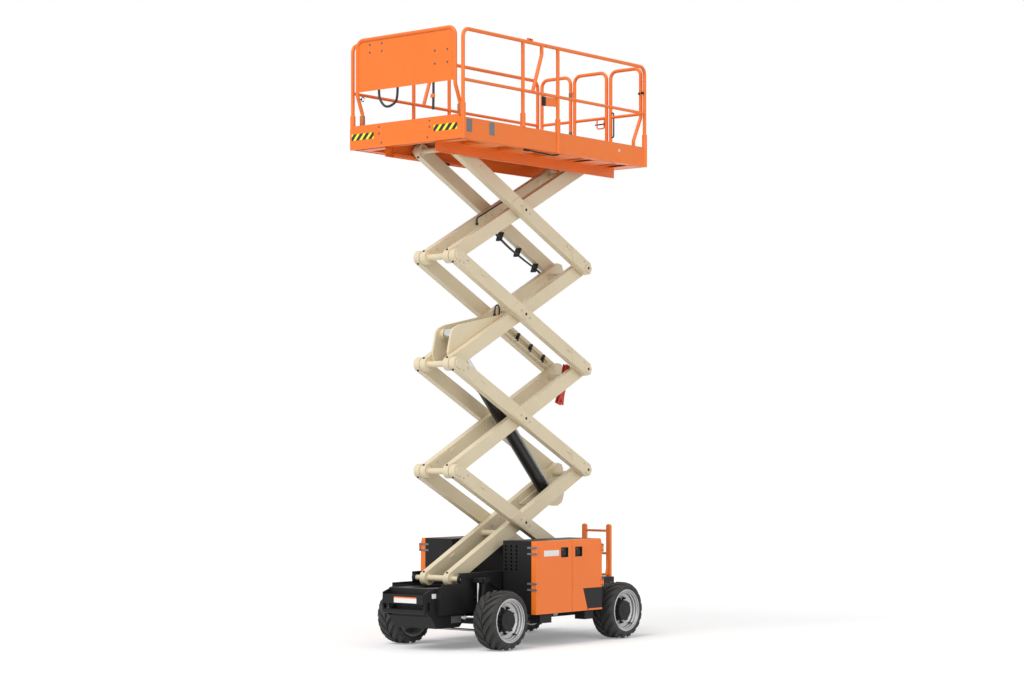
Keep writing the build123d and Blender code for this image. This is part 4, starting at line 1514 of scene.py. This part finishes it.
# ---- The chassis ----
@dataclass
class Chassis:
    """What stands on the frame between the wheels: belly, plates, bolts and rods.

    Attributes:
        nodes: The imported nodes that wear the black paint.
        half: Half the frame's width.
        nose_half: Half the nose's width.
        rungs: The heights of the ladder's rungs.
    """

    nodes: tuple[str, ...] = (
        "chassis_frame", "base_brackets", "tie_down_lugs",
        "front_axle", "rear_axle", "left_steering_knuckle", "right_steering_knuckle",
        "ladder_step", "left_axle_cylinder", "right_axle_cylinder")
    half: float = 0.366
    nose_half: float = 0.31
    rungs: tuple[float, ...] = (0.7, 0.957, 1.229)

    def build(self) -> None:
        """Dresses the frame."""
        paint(BLACK, *self.nodes)
        paint(STEEL, "steering_tie_rod")
        paint(CASTING, "engine")
        self.track()
        self.ladder()
        self.belly()
        self.plates()
        self.bumper()
        self.rods()
        self.low_cylinder()
        self.ladder_gussets()
        self.bolts()

    def track(self) -> None:
        """Builds the channels that the lowest arms' front feet roll in."""
        low, high = BOXES["chassis_track"]
        inner, outer = high.y - 0.05, high.y
        shape = Shape("base_track_channels", "chassis")
        channel = [(inner, low.z), (outer, low.z), (outer, high.z), (inner, high.z),
                   (inner, high.z - 0.014), (outer - 0.01, high.z - 0.014),
                   (outer - 0.01, low.z + 0.015), (inner, low.z + 0.015)]
        shape.prism(channel, (low.x, 0, 0), (0, 1, 0), (0, 0, 1), 1.2 - low.x)
        lip = [(inner, low.z), (outer, low.z), (outer, low.z + 0.045),
               (outer - 0.01, low.z + 0.045), (outer - 0.01, low.z + 0.015),
               (inner, low.z + 0.015)]
        shape.prism(lip, (1.2, 0, 0), (0, 1, 0), (0, 0, 1), high.x - 1.2)
        shape.on_both_sides().piece(BLACK, edge=0.0015, replaces=["chassis_track"])

    def ladder(self) -> None:
        """Builds the ladder: two flat posts, rounded at the top, and three rungs."""
        low, high = BOXES["access_ladder"]
        wide, thick = 0.06, 0.04
        shape = Shape("rear_ladder", "chassis")
        arc = [(wide / 2 * math.cos(turn), high.z - low.z - wide / 2 + wide / 2 * math.sin(turn))
               for turn in (math.pi * step / 10 for step in range(11))]
        for y in (low.y + wide / 2, high.y - wide / 2):
            shape.prism([(-wide / 2, 0.0), (wide / 2, 0.0), *arc],
                        (low.x + 0.002, y, low.z), (0, 1, 0), (0, 0, 1), thick)
        for z in self.rungs:
            shape.bar((low.x + 0.022, low.y + wide - 0.004, z),
                      (low.x + 0.022, high.y - wide + 0.004, z), 0.015, 20)
        shape.piece(ORANGE, edge=0.003, replaces=["access_ladder"])

    def belly(self) -> None:
        """Adds the folded pan under the frame between the axles, and the boxes' feet."""
        rear, front, low, high, wall = -1.0, 0.76, 0.275, 0.4, 0.02
        pan = Shape("belly_pan", "chassis")
        for side in (-1, 1):
            y_low, y_high = sorted((side * self.half, side * (self.half - wall)))
            pan.box((rear, y_low, low), (front, y_high, high))
            y_low, y_high = sorted((side * self.half, side * (self.half - 0.07)))
            pan.box((rear, y_low, low), (front, y_high, low + 0.012))
        for x in (rear, -0.42, 0.14, front - wall):
            pan.box((x, -self.half + 0.01, low + 0.004), (x + wall, self.half - 0.01, high))
        pan.piece(BLACK, edge=0.002)
        for name, side in SIDES.items():
            feet = Shape(f"{name}_box_feet", "chassis")
            y_low, y_high = sorted((side * 0.64, side * 0.785))
            for x_low, x_high in ((-0.64, -0.48), (0.13, 0.34)):
                feet.box((x_low, y_low, 0.262), (x_high, y_high, 0.375))
                feet.box((x_low - 0.02, y_low, 0.355), (x_high + 0.02, y_high, 0.371))
            feet.piece(BLACK, edge=0.003)

    def plates(self) -> None:
        """Adds the blank plates on the side of the nose and of the pan."""
        white = Shape("blank_side_plates", "chassis")
        white.box((1.545, self.nose_half, 0.585), (1.63, self.nose_half + PLATE, 0.636))
        for x_low, x_high, z_low, z_high in ((1.285, 1.375, 0.582, 0.644),
                                             (1.31, 1.385, 0.405, 0.469)):
            white.box((x_low, self.nose_half, z_low), (x_high, self.nose_half + PLATE, z_high))
        for x_low, x_high in ((-0.51, -0.43), (-0.99, -0.915)):
            white.box((x_low, self.half, 0.285), (x_high, self.half + PLATE, 0.335))
        white.piece(PAPER)
        grey = Shape("blank_grey_plate", "chassis")
        grey.box((1.14, self.nose_half, 0.3), (1.31, self.nose_half + PLATE, 0.376))
        grey.piece(CASTING)

    def bumper(self) -> None:
        """Builds the bumper: a beam over a tube between slotted end plates, and its plate."""
        low, high = BOXES["front_bumper"]
        inset, face = 0.01, high.x - PLATE
        shape = Shape("front_bumper_beam", "chassis")
        shape.box((high.x - 0.045, low.y + inset, 0.522), (face, high.y - inset, 0.622))
        shape.bar((high.x - 0.034, low.y + inset, 0.44), (high.x - 0.034, high.y - inset, 0.44),
                  0.026, 24)
        outline = [(1.64, 0.38), (1.75, 0.43), (1.75, 0.644), (1.64, 0.68)]
        slot = [(1.676 + 0.026 * math.cos(turn), 0.495 + end * 0.029 + 0.026 * math.sin(turn))
                for end, start in ((1, 0.0), (-1, math.pi))
                for turn in (start + math.pi * step / 8 for step in range(9))]
        for y in (low.y + 0.016, high.y):
            plate = Shape("plate", "chassis").prism(outline, (0, y, 0), (1, 0, 0), (0, 0, 1),
                                                    0.016).data()
            tool = Shape("tool", "chassis").prism(slot, (0, y + 0.01, 0), (1, 0, 0), (0, 0, 1),
                                                  0.036).data()
            shape.take(carved(plate, tool))
        shape.piece(BLACK, edge=0.003, replaces=["front_bumper"])
        plate = Shape("blank_bumper_plate", "chassis")
        plate.box((face - 0.001, -0.13, 0.535), (high.x, 0.2, 0.585))
        plate.piece(PAPER)
        strip = Shape("bumper_plate_strip", "chassis")
        strip.box((face - 0.001, -0.13, 0.5855), (high.x, 0.2, 0.6))
        strip.piece(ORANGE)

    def rods(self) -> None:
        """Adds the steering cylinders' rods and the axle cylinders' rods and hoses."""
        for name, side in SIDES.items():
            low, high = BOXES[f"{name}_axle_cylinder"]
            y = side * (abs(low.y + high.y) / 2)
            rod = Shape(f"{name}_axle_cylinder_rod", "chassis")
            rod.bar((1.0, y, 0.42), (1.0, y, 0.735), 0.014, 16, 0.001)
            rod.bar((1.0, y, 0.41), (1.0, y, 0.44), 0.02, 16, 0.002)
            rod.piece(CHROME)
            cap = Shape(f"{name}_axle_cylinder_cap", "chassis")
            cap.box((0.86, y - 0.055, 0.735), (1.03, y + 0.055, 0.788))
            cap.bar((0.83, y, 0.76), (0.86, y, 0.76), 0.024, 6)
            cap.tube(flowing([(0.845, y, 0.76), (0.78, y, 0.75), (0.7, y - side * 0.03, 0.7),
                              (0.6, y - side * 0.05, 0.66), (0.53, y - side * 0.06, 0.655)], 6),
                     0.012, 10)
            cap.piece(BLACK, edge=0.005)
            steer = Shape(f"{name}_steering_rod", "chassis")
            steer.bar((1.12, side * (self.nose_half - 0.01), 0.36), (1.03, side * 0.47, 0.36),
                      0.014, 16)
            steer.bar((1.13, side * (self.nose_half - 0.04), 0.36),
                      (1.09, side * (self.nose_half + 0.03), 0.36), 0.03, 20, 0.003)
            steer.piece(STEEL)

    def low_cylinder(self) -> None:
        """Adds what shows of the low cylinder by the lowest arms: a black barrel, and a thin light
        line along it that is the barrel's painted highlight.
        """
        barrel = Shape("low_cylinder_barrel", "chassis")
        foot, tip = Vector((0.05, 0.0, 0.6)), Vector((0.8, 0.0, 0.668))
        barrel.bar(foot, tip, 0.045, 24, 0.004)
        barrel.bar(foot.lerp(tip, 0.86), foot.lerp(tip, 0.97), 0.052, 24, 0.004)
        barrel.piece(CYLINDER)
        # Painted highlight: a thin steel tube laid along the top of the barrel stands in for the
        # light line of the barrel's highlight.
        line = Shape("low_cylinder_painted_highlight", "chassis")
        offset = Vector((0.0, 0.05, 0.03))
        line.tube([foot + offset, foot.lerp(tip, 0.5) + offset * 1.05, tip + offset], 0.009, 10)
        line.piece(STEEL)

    def ladder_gussets(self) -> None:
        """Adds the gusset at the foot of each of the ladder's posts."""
        low, high = BOXES["access_ladder"]
        shape = Shape("ladder_gussets", "chassis")
        for y in (low.y + 0.024, high.y - 0.024):
            shape.prism([(0, 0), (0.07, 0), (0.0, 0.26)], (high.x - 0.012, y + 0.004, 0.7),
                        (1, 0, 0), (0, 0, 1), 0.008)
        shape.piece(ORANGE, edge=0.001)

    def bolts(self) -> None:
        """Adds the bolts along the frame's side and nose."""
        low, _ = BOXES["chassis_frame"]
        group = Bolts("frame_bolts", "chassis", 0.011)
        for number in range(9):
            group.put((low.x + 0.2 + number * 0.3, self.half, 0.64), (0, 1, 0), True)
        for x in (1.2, 1.5):
            group.put((x, self.nose_half, 0.55), (0, 1, 0), True)
        group.piece(BLACK)


# ---- The side boxes ----
@dataclass
class SideBox:
    """One side box with its two doors, vents and latches.

    Attributes:
        side: left or right.
        face: How far out the doors' outer face lies.
        inner: How far out the doors' back edge lies.
        mouth: How far out the box's open side lies.
        back: How far out the box's inner wall lies.
        wall: The thickness of a wall and of a door.
        chamfer: The height and the depth of the slope along the doors' top edge.
        low: The foot of the box.
        high: The top of the box.
        front: The x of its front.
        rear: The x of its rear.
        seam: The x where the doors meet.
        gap: Half the gap between the doors.
        latch_half: Half the length and half the height of a latch pocket.
        latch_height: The height of the latches' middles.
        latch_depth: The depth of a latch pocket.
        hinge_out: How far in front of the box and of the doors the hinges stand.
        hinge_heights: The heights of the hinges' middles.
    """

    side: str
    face: float = 0.86
    inner: float = 0.79
    mouth: float = 0.785
    back: float = 0.38
    wall: float = 0.04
    chamfer: tuple[float, float] = (0.065, 0.018)
    low: float = 0.371
    high: float = 1.187
    front: float = 0.499
    rear: float = -0.71
    seam: float = -0.153
    gap: float = 0.003
    latch_half: tuple[float, float] = (0.065, 0.056)
    latch_height: float = 1.05
    latch_depth: float = 0.022
    hinge_out: float = 0.007
    hinge_heights: tuple[float, ...] = (0.68, 1.08)

    @property
    def out(self) -> float:
        """1 on the left, -1 on the right."""
        return SIDES[self.side]

    def span(self, near: float, far: float) -> tuple[float, float]:
        """Gives two distances outwards as a low and a high y."""
        low, high = sorted((self.out * near, self.out * far))
        return low, high

    def block(self, shape: Shape, low: Point, high: Point) -> Shape:
        """Adds a box to a shape, with its y measured outwards.

        Args:
            shape: The shape.
            low: Its corner with the least x and z, and one y.
            high: Its corner with the greatest x and z, and the other y.

        Returns:
            The shape.
        """
        y_low, y_high = self.span(low[1], high[1])
        return shape.box((low[0], y_low, low[2]), (high[0], y_high, high[2]))

    def hollowed(self, mesh: bpy.types.Mesh, low: Point, high: Point) -> bpy.types.Mesh:
        """Cuts a box out of a mesh, with its y measured outwards.

        Args:
            mesh: The mesh, which is used up.
            low: The box's corner with the least x and z, and one y.
            high: Its corner with the greatest x and z, and the other y.

        Returns:
            A new mesh.
        """
        return carved(mesh, self.block(Shape("cut", self.side), low, high).data())

    def build(self) -> None:
        """Dresses the box and its doors."""
        self.shell()
        self.knuckles()
        fore, aft = self.seam + self.gap, self.seam - self.gap
        outline = [(fore, self.low), (self.front, self.low), (self.front, self.high),
                   (fore, self.high)]
        self.door("front", outline,
                  [(self.seam + 0.043, self.low + self.wall, self.front - self.wall)], -0.014)
        outline = [(-0.443, self.low), (aft, self.low), (aft, self.high), (self.rear, self.high),
                   (self.rear, 0.626), (-0.356, 0.626)]
        self.door("rear", outline,
                  [(self.rear + self.wall, 0.666, self.seam - 0.043),
                   (-0.33, self.low + self.wall, self.seam - 0.043)], -0.273)
        if self.side == "left":
            self.plates()

    def shell(self) -> None:
        """Builds the box, open to its doors, with its corner panel and its vent holes."""
        node, wall = f"{self.side}_side_box", self.wall
        shell = self.block(Shape("cut", node), (self.rear, self.back, self.low),
                           (self.front, self.mouth, self.high)).data()
        shell = self.hollowed(shell, (self.rear + wall, self.back + wall, self.low + wall),
                              (self.front - wall, self.mouth + 0.02, self.high - wall))
        if self.side == "left":
            holes = Shape("cut", node)
            for column in range(3):
                for row in range(7):
                    y, z = 0.42 + column * 0.0775, 0.865 + row * 0.043
                    holes.bar((self.front - wall - 0.01, y, z), (self.front + 0.01, y, z), 0.014,
                              16)
            shell = carved(shell, holes.data())
        shape = Shape(f"{node}_shell", "chassis").take(shell)
        self.block(shape, (-0.3, Chassis.half, 0.45), (0.3, self.back, 0.65))
        low, high = self.span(self.mouth, self.face)
        corner = [(self.rear, self.low), (-0.448, self.low), (-0.361, 0.621), (self.rear, 0.621)]
        shape.prism(corner, (0, low, 0), (1, 0, 0), (0, 0, 1), low - high)
        shape.piece(BLACK, edge=0.0015, replaces=[node])

    def knuckles(self) -> None:
        """Adds the box's slim halves of the hinges, above and below each door's lugs."""
        shape = Shape(f"{self.side}_hinge_knuckles", "chassis")
        pin = self.out * (self.face + 0.007)
        for wall_x in (self.front, self.rear):
            x = wall_x + math.copysign(self.hinge_out, wall_x)
            x_low, x_high = sorted((wall_x + math.copysign(0.0005, x),
                                    wall_x + math.copysign(0.0065, x)))
            for height in self.hinge_heights:
                for z in (height - 0.034, height + 0.034):
                    shape.bar((x, pin, z - 0.012), (x, pin, z + 0.012), 0.0105, 16, 0.001)
                    self.block(shape, (x_low, self.mouth - 0.05, z - 0.011),
                               (x_high, self.face + 0.004, z + 0.011))
        shape.piece(GREY, edge=0.001)

    def door(self, end: str, outline: Sequence[Point], hollows: Sequence[Point],
             latch_x: float) -> None:
        """Builds one hollow door with its sloped top edge, latch pocket and hinge lugs.

        Args:
            end: front or rear.
            outline: Its face as (x, z).
            hollows: Boxes to hollow out as (low x, low z, high x).
            latch_x: The middle of its latch.
        """
        node = f"{self.side}_{end}_door"
        y_low, y_high = self.span(self.inner, self.face)
        panel = Shape("panel", node).prism(outline, (0, y_low, 0), (1, 0, 0), (0, 0, 1),
                                           y_low - y_high).data()
        for x_low, z_low, x_high in hollows:
            panel = self.hollowed(panel, (x_low, self.inner - 0.01, z_low),
                                  (x_high, self.face - self.wall, self.high - self.wall))
        tall, deep = self.chamfer
        slope = [(self.out * (self.face + deep * 0.3), self.high - tall * 1.3),
                 (self.out * (self.face + 0.05), self.high - tall * 1.3),
                 (self.out * (self.face + 0.05), self.high + tall * 0.3),
                 (self.out * (self.face - deep * 1.3), self.high + tall * 0.3)]
        panel = carved(panel, Shape("cut", node).prism(slope, (-2, 0, 0), (0, 1, 0), (0, 0, 1),
                                                       4).data())
        half_x, half_z = self.latch_half
        panel = self.hollowed(
            panel, (latch_x - half_x, self.face - self.latch_depth, self.latch_height - half_z),
            (latch_x + half_x, self.face + 0.02, self.latch_height + half_z))
        shape = Shape(f"{node}_panel", node).take(panel)
        hand = 1 if end == "front" else -1
        hinge_x = (self.front if end == "front" else self.rear) + hand * self.hinge_out
        pin = self.out * (self.face + self.hinge_out)
        for height in self.hinge_heights:
            x_low, x_high = sorted((hinge_x - hand * 0.037, hinge_x + hand * 0.004))
            self.block(shape, (x_low, self.face - 0.002, height - 0.021),
                       (x_high, self.face + 0.006, height + 0.021))
            shape.bar((hinge_x, pin, height - 0.021), (hinge_x, pin, height + 0.021), 0.0108, 16)
        shape.piece(ORANGE, edge=0.0015, replaces=[node])
        self.latch(node, latch_x, self.latch_height)

    def latch(self, node: str, x: float, z: float) -> None:
        """Adds the black liner, paddle and key barrel in a door's latch pocket.

        Args:
            node: The door's node, which is its body as well.
            x: The x of the pocket's middle.
            z: Its height.
        """
        half_x, half_z = self.latch_half
        floor = self.face - self.latch_depth
        cup = Shape(f"{node}_latch", node)
        self.block(cup, (x - half_x, floor, z - half_z), (x + half_x, floor + 0.004, z + half_z))
        for low, high in (((-half_x, -half_z), (-half_x + 0.005, half_z)),
                          ((half_x - 0.005, -half_z), (half_x, half_z)),
                          ((-half_x, -half_z), (half_x, -half_z + 0.005)),
                          ((-half_x, half_z - 0.005), (half_x, half_z))):
            self.block(cup, (x + low[0], floor, z + low[1]),
                       (x + high[0], self.face + 0.001, z + high[1]))
        self.block(cup, (x - 0.035, floor + 0.003, z - 0.03),
                   (x + 0.035, self.face - 0.008, z + 0.012))
        cup.piece(NYLON, edge=0.0015)
        key = Shape(f"{node}_key_barrel", node)
        key.bar((x + 0.02, self.out * (self.face - 0.02), z + 0.03),
                (x + 0.02, self.out * (self.face - 0.006), z + 0.03), 0.01, 16, 0.0015)
        key.piece(CASTING)

    def plates(self) -> None:
        """Adds the blank plate on the front door and the strip under the corner panel."""
        plate = Shape("blank_door_plate", f"{self.side}_front_door")
        self.block(plate, (0.09, self.face, 1.015), (0.36, self.face + 0.001, 1.08))
        plate.piece(PAPER)
        strip = Shape("corner_strip", "chassis")
        self.block(strip, (self.rear, self.face, self.low),
                   (-0.45, self.face + 0.001, self.low + 0.02))
        strip.piece(ORANGE)


# ---- The platform ----
@dataclass
class Platform:
    """The deck, its guard rails, front panel and entry gate.

    Attributes:
        main_nodes: The orange nodes of the fixed deck.
        extension_nodes: The orange nodes of the roll-out deck.
        deck: The finish of both decks: orange paint darkened to a deeper red than the rails, where
            the darkening is painted shade of the underside.
        rail_y: How far out the side rails stand.
        toe_y: How far out the side toe boards' outer face lies.
        gate_x: The x of the gate and of the fixed rails beside it.
        panel_x: The x of what hangs under the front panel.
    """

    main_nodes: tuple[str, ...] = ("platform_frame", "platform_track", "top_brackets",
                                   "rear_toe_boards", "main_guard_rails", "entry_gate")
    extension_nodes: tuple[str, ...] = ("front_toe_boards", "extension_guard_rails",
                                        "front_panel")
    # Painted shade: the deck's orange paint is darkened to the dark red of its shaded underside.
    deck: Finish = Finish("deck_paint_with_painted_shade", "deck_plate", (0.5, 0.15, 0.045), 0.6, mottle=0.1,
                          dust=0.35)
    rail_y: float = 0.812
    toe_y: float = 0.824
    gate_x: float = -1.614
    panel_x: float = 1.695

    def build(self) -> None:
        """Dresses the platform."""
        paint(ORANGE, *self.main_nodes, *self.extension_nodes)
        paint(self.deck, "main_deck", "extension_deck")
        self.stripes()
        self.front_bolts()
        self.toe_board_details()
        self.rail_latch()
        self.cable_loop()
        self.gate_details()
        self.under_deck()

    def stripes(self) -> None:
        """Adds the striped plates near the ends of the front toe board."""
        low, high = BOXES["front_toe_boards"]
        shape = Shape("hazard_plates", "extension")
        for y_low, y_high in ((-0.797, -0.463), (0.423, 0.757)):
            shape.box((high.x, y_low, low.z + 0.1), (high.x + PLATE, y_high, low.z + 0.17))
        shape.piece(HAZARD)

    def front_bolts(self) -> None:
        """Adds the small bolts of the front panel and of the toe boards."""
        _, high = BOXES["front_panel"]
        group = Bolts("panel_bolts", "extension", 0.008)
        for across, up in (((-0.53, -0.35), (6.7, 6.615)), ((0.43, 0.61), (6.53, 6.39))):
            for y in across:
                for z in up:
                    group.put((high.x, y, z), (1, 0, 0))
        group.piece(CASTING)
        _, toe_high = BOXES["front_toe_boards"]
        group = Bolts("toe_board_bolts", "extension", 0.007)
        for y, z in ((-0.384, 5.777), (-0.384, 5.703), (0.361, 5.778), (0.361, 5.711),
                     (-0.347, 5.6), (0.33, 5.6)):
            group.put((toe_high.x, y, z), (1, 0, 0))
        group.piece(CASTING)
        group = Bolts("rear_toe_board_bolts", "platform", 0.007)
        for number in range(5):
            group.put((-1.4 + number * 0.33, self.toe_y, 5.6), (0, 1, 0), True)
        group.piece(ORANGE)

    def toe_board_details(self) -> None:
        """Adds the blank patches and the disc on the left toe boards."""
        patches = Shape("blank_grey_patches", "extension")
        for x in (1.6, 1.224):
            patches.box((x - 0.045, self.toe_y, 5.63), (x + 0.045, self.toe_y + 0.0012, 5.77))
        patches.piece(PATCH)
        disc = Shape("pale_disc", "platform")
        disc.bar((-1.089, self.toe_y - 0.0005, 5.7), (-1.089, self.toe_y + 0.0025, 5.7), 0.016, 20,
                 0.001)
        disc.piece(PAPER)

    def rail_latch(self) -> None:
        """Adds the latch of the roll-out rails, and the stop plate under the left one."""
        bolt = Shape("rail_latch_pins", "extension")
        bolt.bar((0.55, 0.79, 6.768), (0.55, 0.822, 6.768), 0.01, 16, 0.002)
        bolt.on_both_sides().piece(NYLON)
        stop = Shape("rail_stop_plate", "platform")
        stop.prism([(0.06, 6.075), (0.28, 6.06), (0.28, 6.165), (0.06, 6.17)],
                   (0, self.rail_y + 0.004, 0), (1, 0, 0), (0, 0, 1), 0.008)
        stop.piece(ORANGE, edge=0.001)
        end = Shape("rail_stop_block", "platform")
        end.box((0.28, self.rail_y - 0.012, 6.06), (0.33, self.rail_y + 0.012, 6.165))
        end.bar((0.305, self.rail_y + 0.01, 6.11), (0.305, self.rail_y + 0.02, 6.11), 0.014, 6)
        end.piece(NYLON, edge=0.004)

    def cable_loop(self) -> None:
        """Adds the cable loop, its clips and a hook ring under the front panel."""
        x = self.panel_x
        loop = Shape("panel_cable_loop", "extension")
        loop.tube(flowing([(x, -0.414, 6.23), (x, -0.4, 6.1), (x, -0.33, 6.01),
                           (x, -0.24, 6.0), (x, -0.15, 6.06), (x, -0.13, 6.23)], 7), 0.014, 12)
        loop.tube(flowing([(x, 0.392, 6.23), (x, 0.392, 6.1), (x, 0.39, 5.98),
                           (x, 0.388, 5.9)], 4), 0.014, 12)
        loop.piece(HOSE)
        clip = Shape("panel_cable_clips", "extension")
        clip.box((x - 0.012, 0.35, 6.03), (x + 0.004, 0.38, 6.07))
        clip.bar((x, 0.392, 6.03), (x, 0.392, 6.07), 0.018, 16, 0.002)
        clip.piece(ORANGE, edge=0.001)
        ring = Shape("hook_ring", "extension")
        circle = [(x, -0.656 + 0.02 * math.cos(turn), 6.11 + 0.026 * math.sin(turn))
                  for turn in (2 * math.pi * step / 24 for step in range(23))]
        ring.tube(circle, 0.005, 8)
        ring.box((x - 0.006, -0.69, 6.105), (x + 0.006, -0.672, 6.12))
        ring.piece(NYLON)

    def gate_details(self) -> None:
        """Adds the gate's hinge sleeves, its latch and the dark grab rod beside it."""
        x = self.gate_x
        sleeves = Shape("gate_hinge_sleeves", "platform")
        for z in (6.04, 6.51):
            sleeves.bar((x, -0.305, z - 0.03), (x, -0.305, z + 0.03), 0.023, 20, 0.001)
        sleeves.piece(GREY)
        latch = Shape("gate_latch", "gate")
        latch.tube(rounded([(x, 0.1, 6.18), (x, 0.1, 6.07), (x, 0.21, 6.07), (x, 0.21, 6.18)],
                           0.03), 0.009, 10)
        latch.piece(ORANGE)
        bar = Shape("gate_latch_bar", "gate")
        bar.bar((x, 0.07, 6.12), (x, 0.24, 6.12), 0.008, 12, 0.002)
        bar.box((x - 0.008, 0.2, 6.1), (x + 0.008, 0.24, 6.14))
        bar.piece(NYLON, edge=0.002)
        grab = Shape("gate_grab_rod", "platform")
        grab.tube(rounded([(x, 0.31, 6.24), (x, 0.35, 6.24), (x, 0.35, 5.95), (x, 0.31, 5.95)],
                          0.03), 0.009, 10)
        grab.box((x - 0.01, 0.29, 6.225), (x + 0.01, 0.32, 6.255))
        grab.box((x - 0.01, 0.29, 5.935), (x + 0.01, 0.32, 5.965))
        grab.piece(NYLON)
        clamps = Shape("corner_post_clamps", "platform")
        clamps.bar((-1.57, 0.79, 6.43), (-1.57, 0.823, 6.43), 0.016, 16, 0.004)
        clamps.bar((-1.606, 0.745, 6.43), (-1.578, 0.745, 6.43), 0.014, 16, 0.004)
        clamps.piece(NYLON)

    def under_deck(self) -> None:
        """Adds the release lever and the slide pad under the deck."""
        lever = Shape("deck_release_lever", "platform")
        lever.tube(flowing([(-0.1, 0.74, 5.57), (0.048, 0.745, 5.535), (0.3, 0.75, 5.54),
                            (0.53, 0.75, 5.548)], 4), 0.008, 10)
        lever.bar((0.5, 0.75, 5.547), (0.58, 0.75, 5.549), 0.016, 16, 0.005)
        lever.piece(NYLON)
        pad = Shape("slide_pads", "platform")
        pad.box((0.62, -0.345, 5.445), (0.76, -0.303, 5.467))
        pad.box((0.64, -0.35, 5.463), (0.8, -0.303, 5.475))
        pad.piece(NYLON, edge=0.003)
        beams = Shape("deck_side_beams", "platform")
        beams.box((-1.59, 0.3665, 5.4635), (1.64, 0.373, 5.5585))
        beams.box((-1.59, 0.352, 5.455), (1.64, 0.373, 5.4625))
        beams.on_both_sides().piece(ORANGE, edge=0.001)
        # The gaps between these orange plates show the darker deck paint, which stands in for the
        # shade in the pockets.
        ribs = Shape("deck_under_plates", "platform")
        for x_low, x_high in ((-1.59, -1.39), (-1.09, -0.74), (-0.44, -0.04), (0.26, 0.6),
                              (0.9, 1.22), (1.52, 1.64)):
            ribs.box((x_low, 0.3735, 5.5555), (x_high, 0.78, 5.5588))
        ribs.on_both_sides().piece(ORANGE)


def main() -> None:
    logging.basicConfig(level=logging.INFO, format="%(name)s: %(message)s")
    for part in (Studio(), ScissorStack(), LiftCylinder("main", 0.075, 0.042, 0.72),
                 *(Wheel(side, end) for side in SIDES for end in ("front", "rear")),
                 Chassis(), *(SideBox(side) for side in SIDES), Platform()):
        LOG.info("building %s", part)
        part.build()


if __name__ == "__main__":
    main()
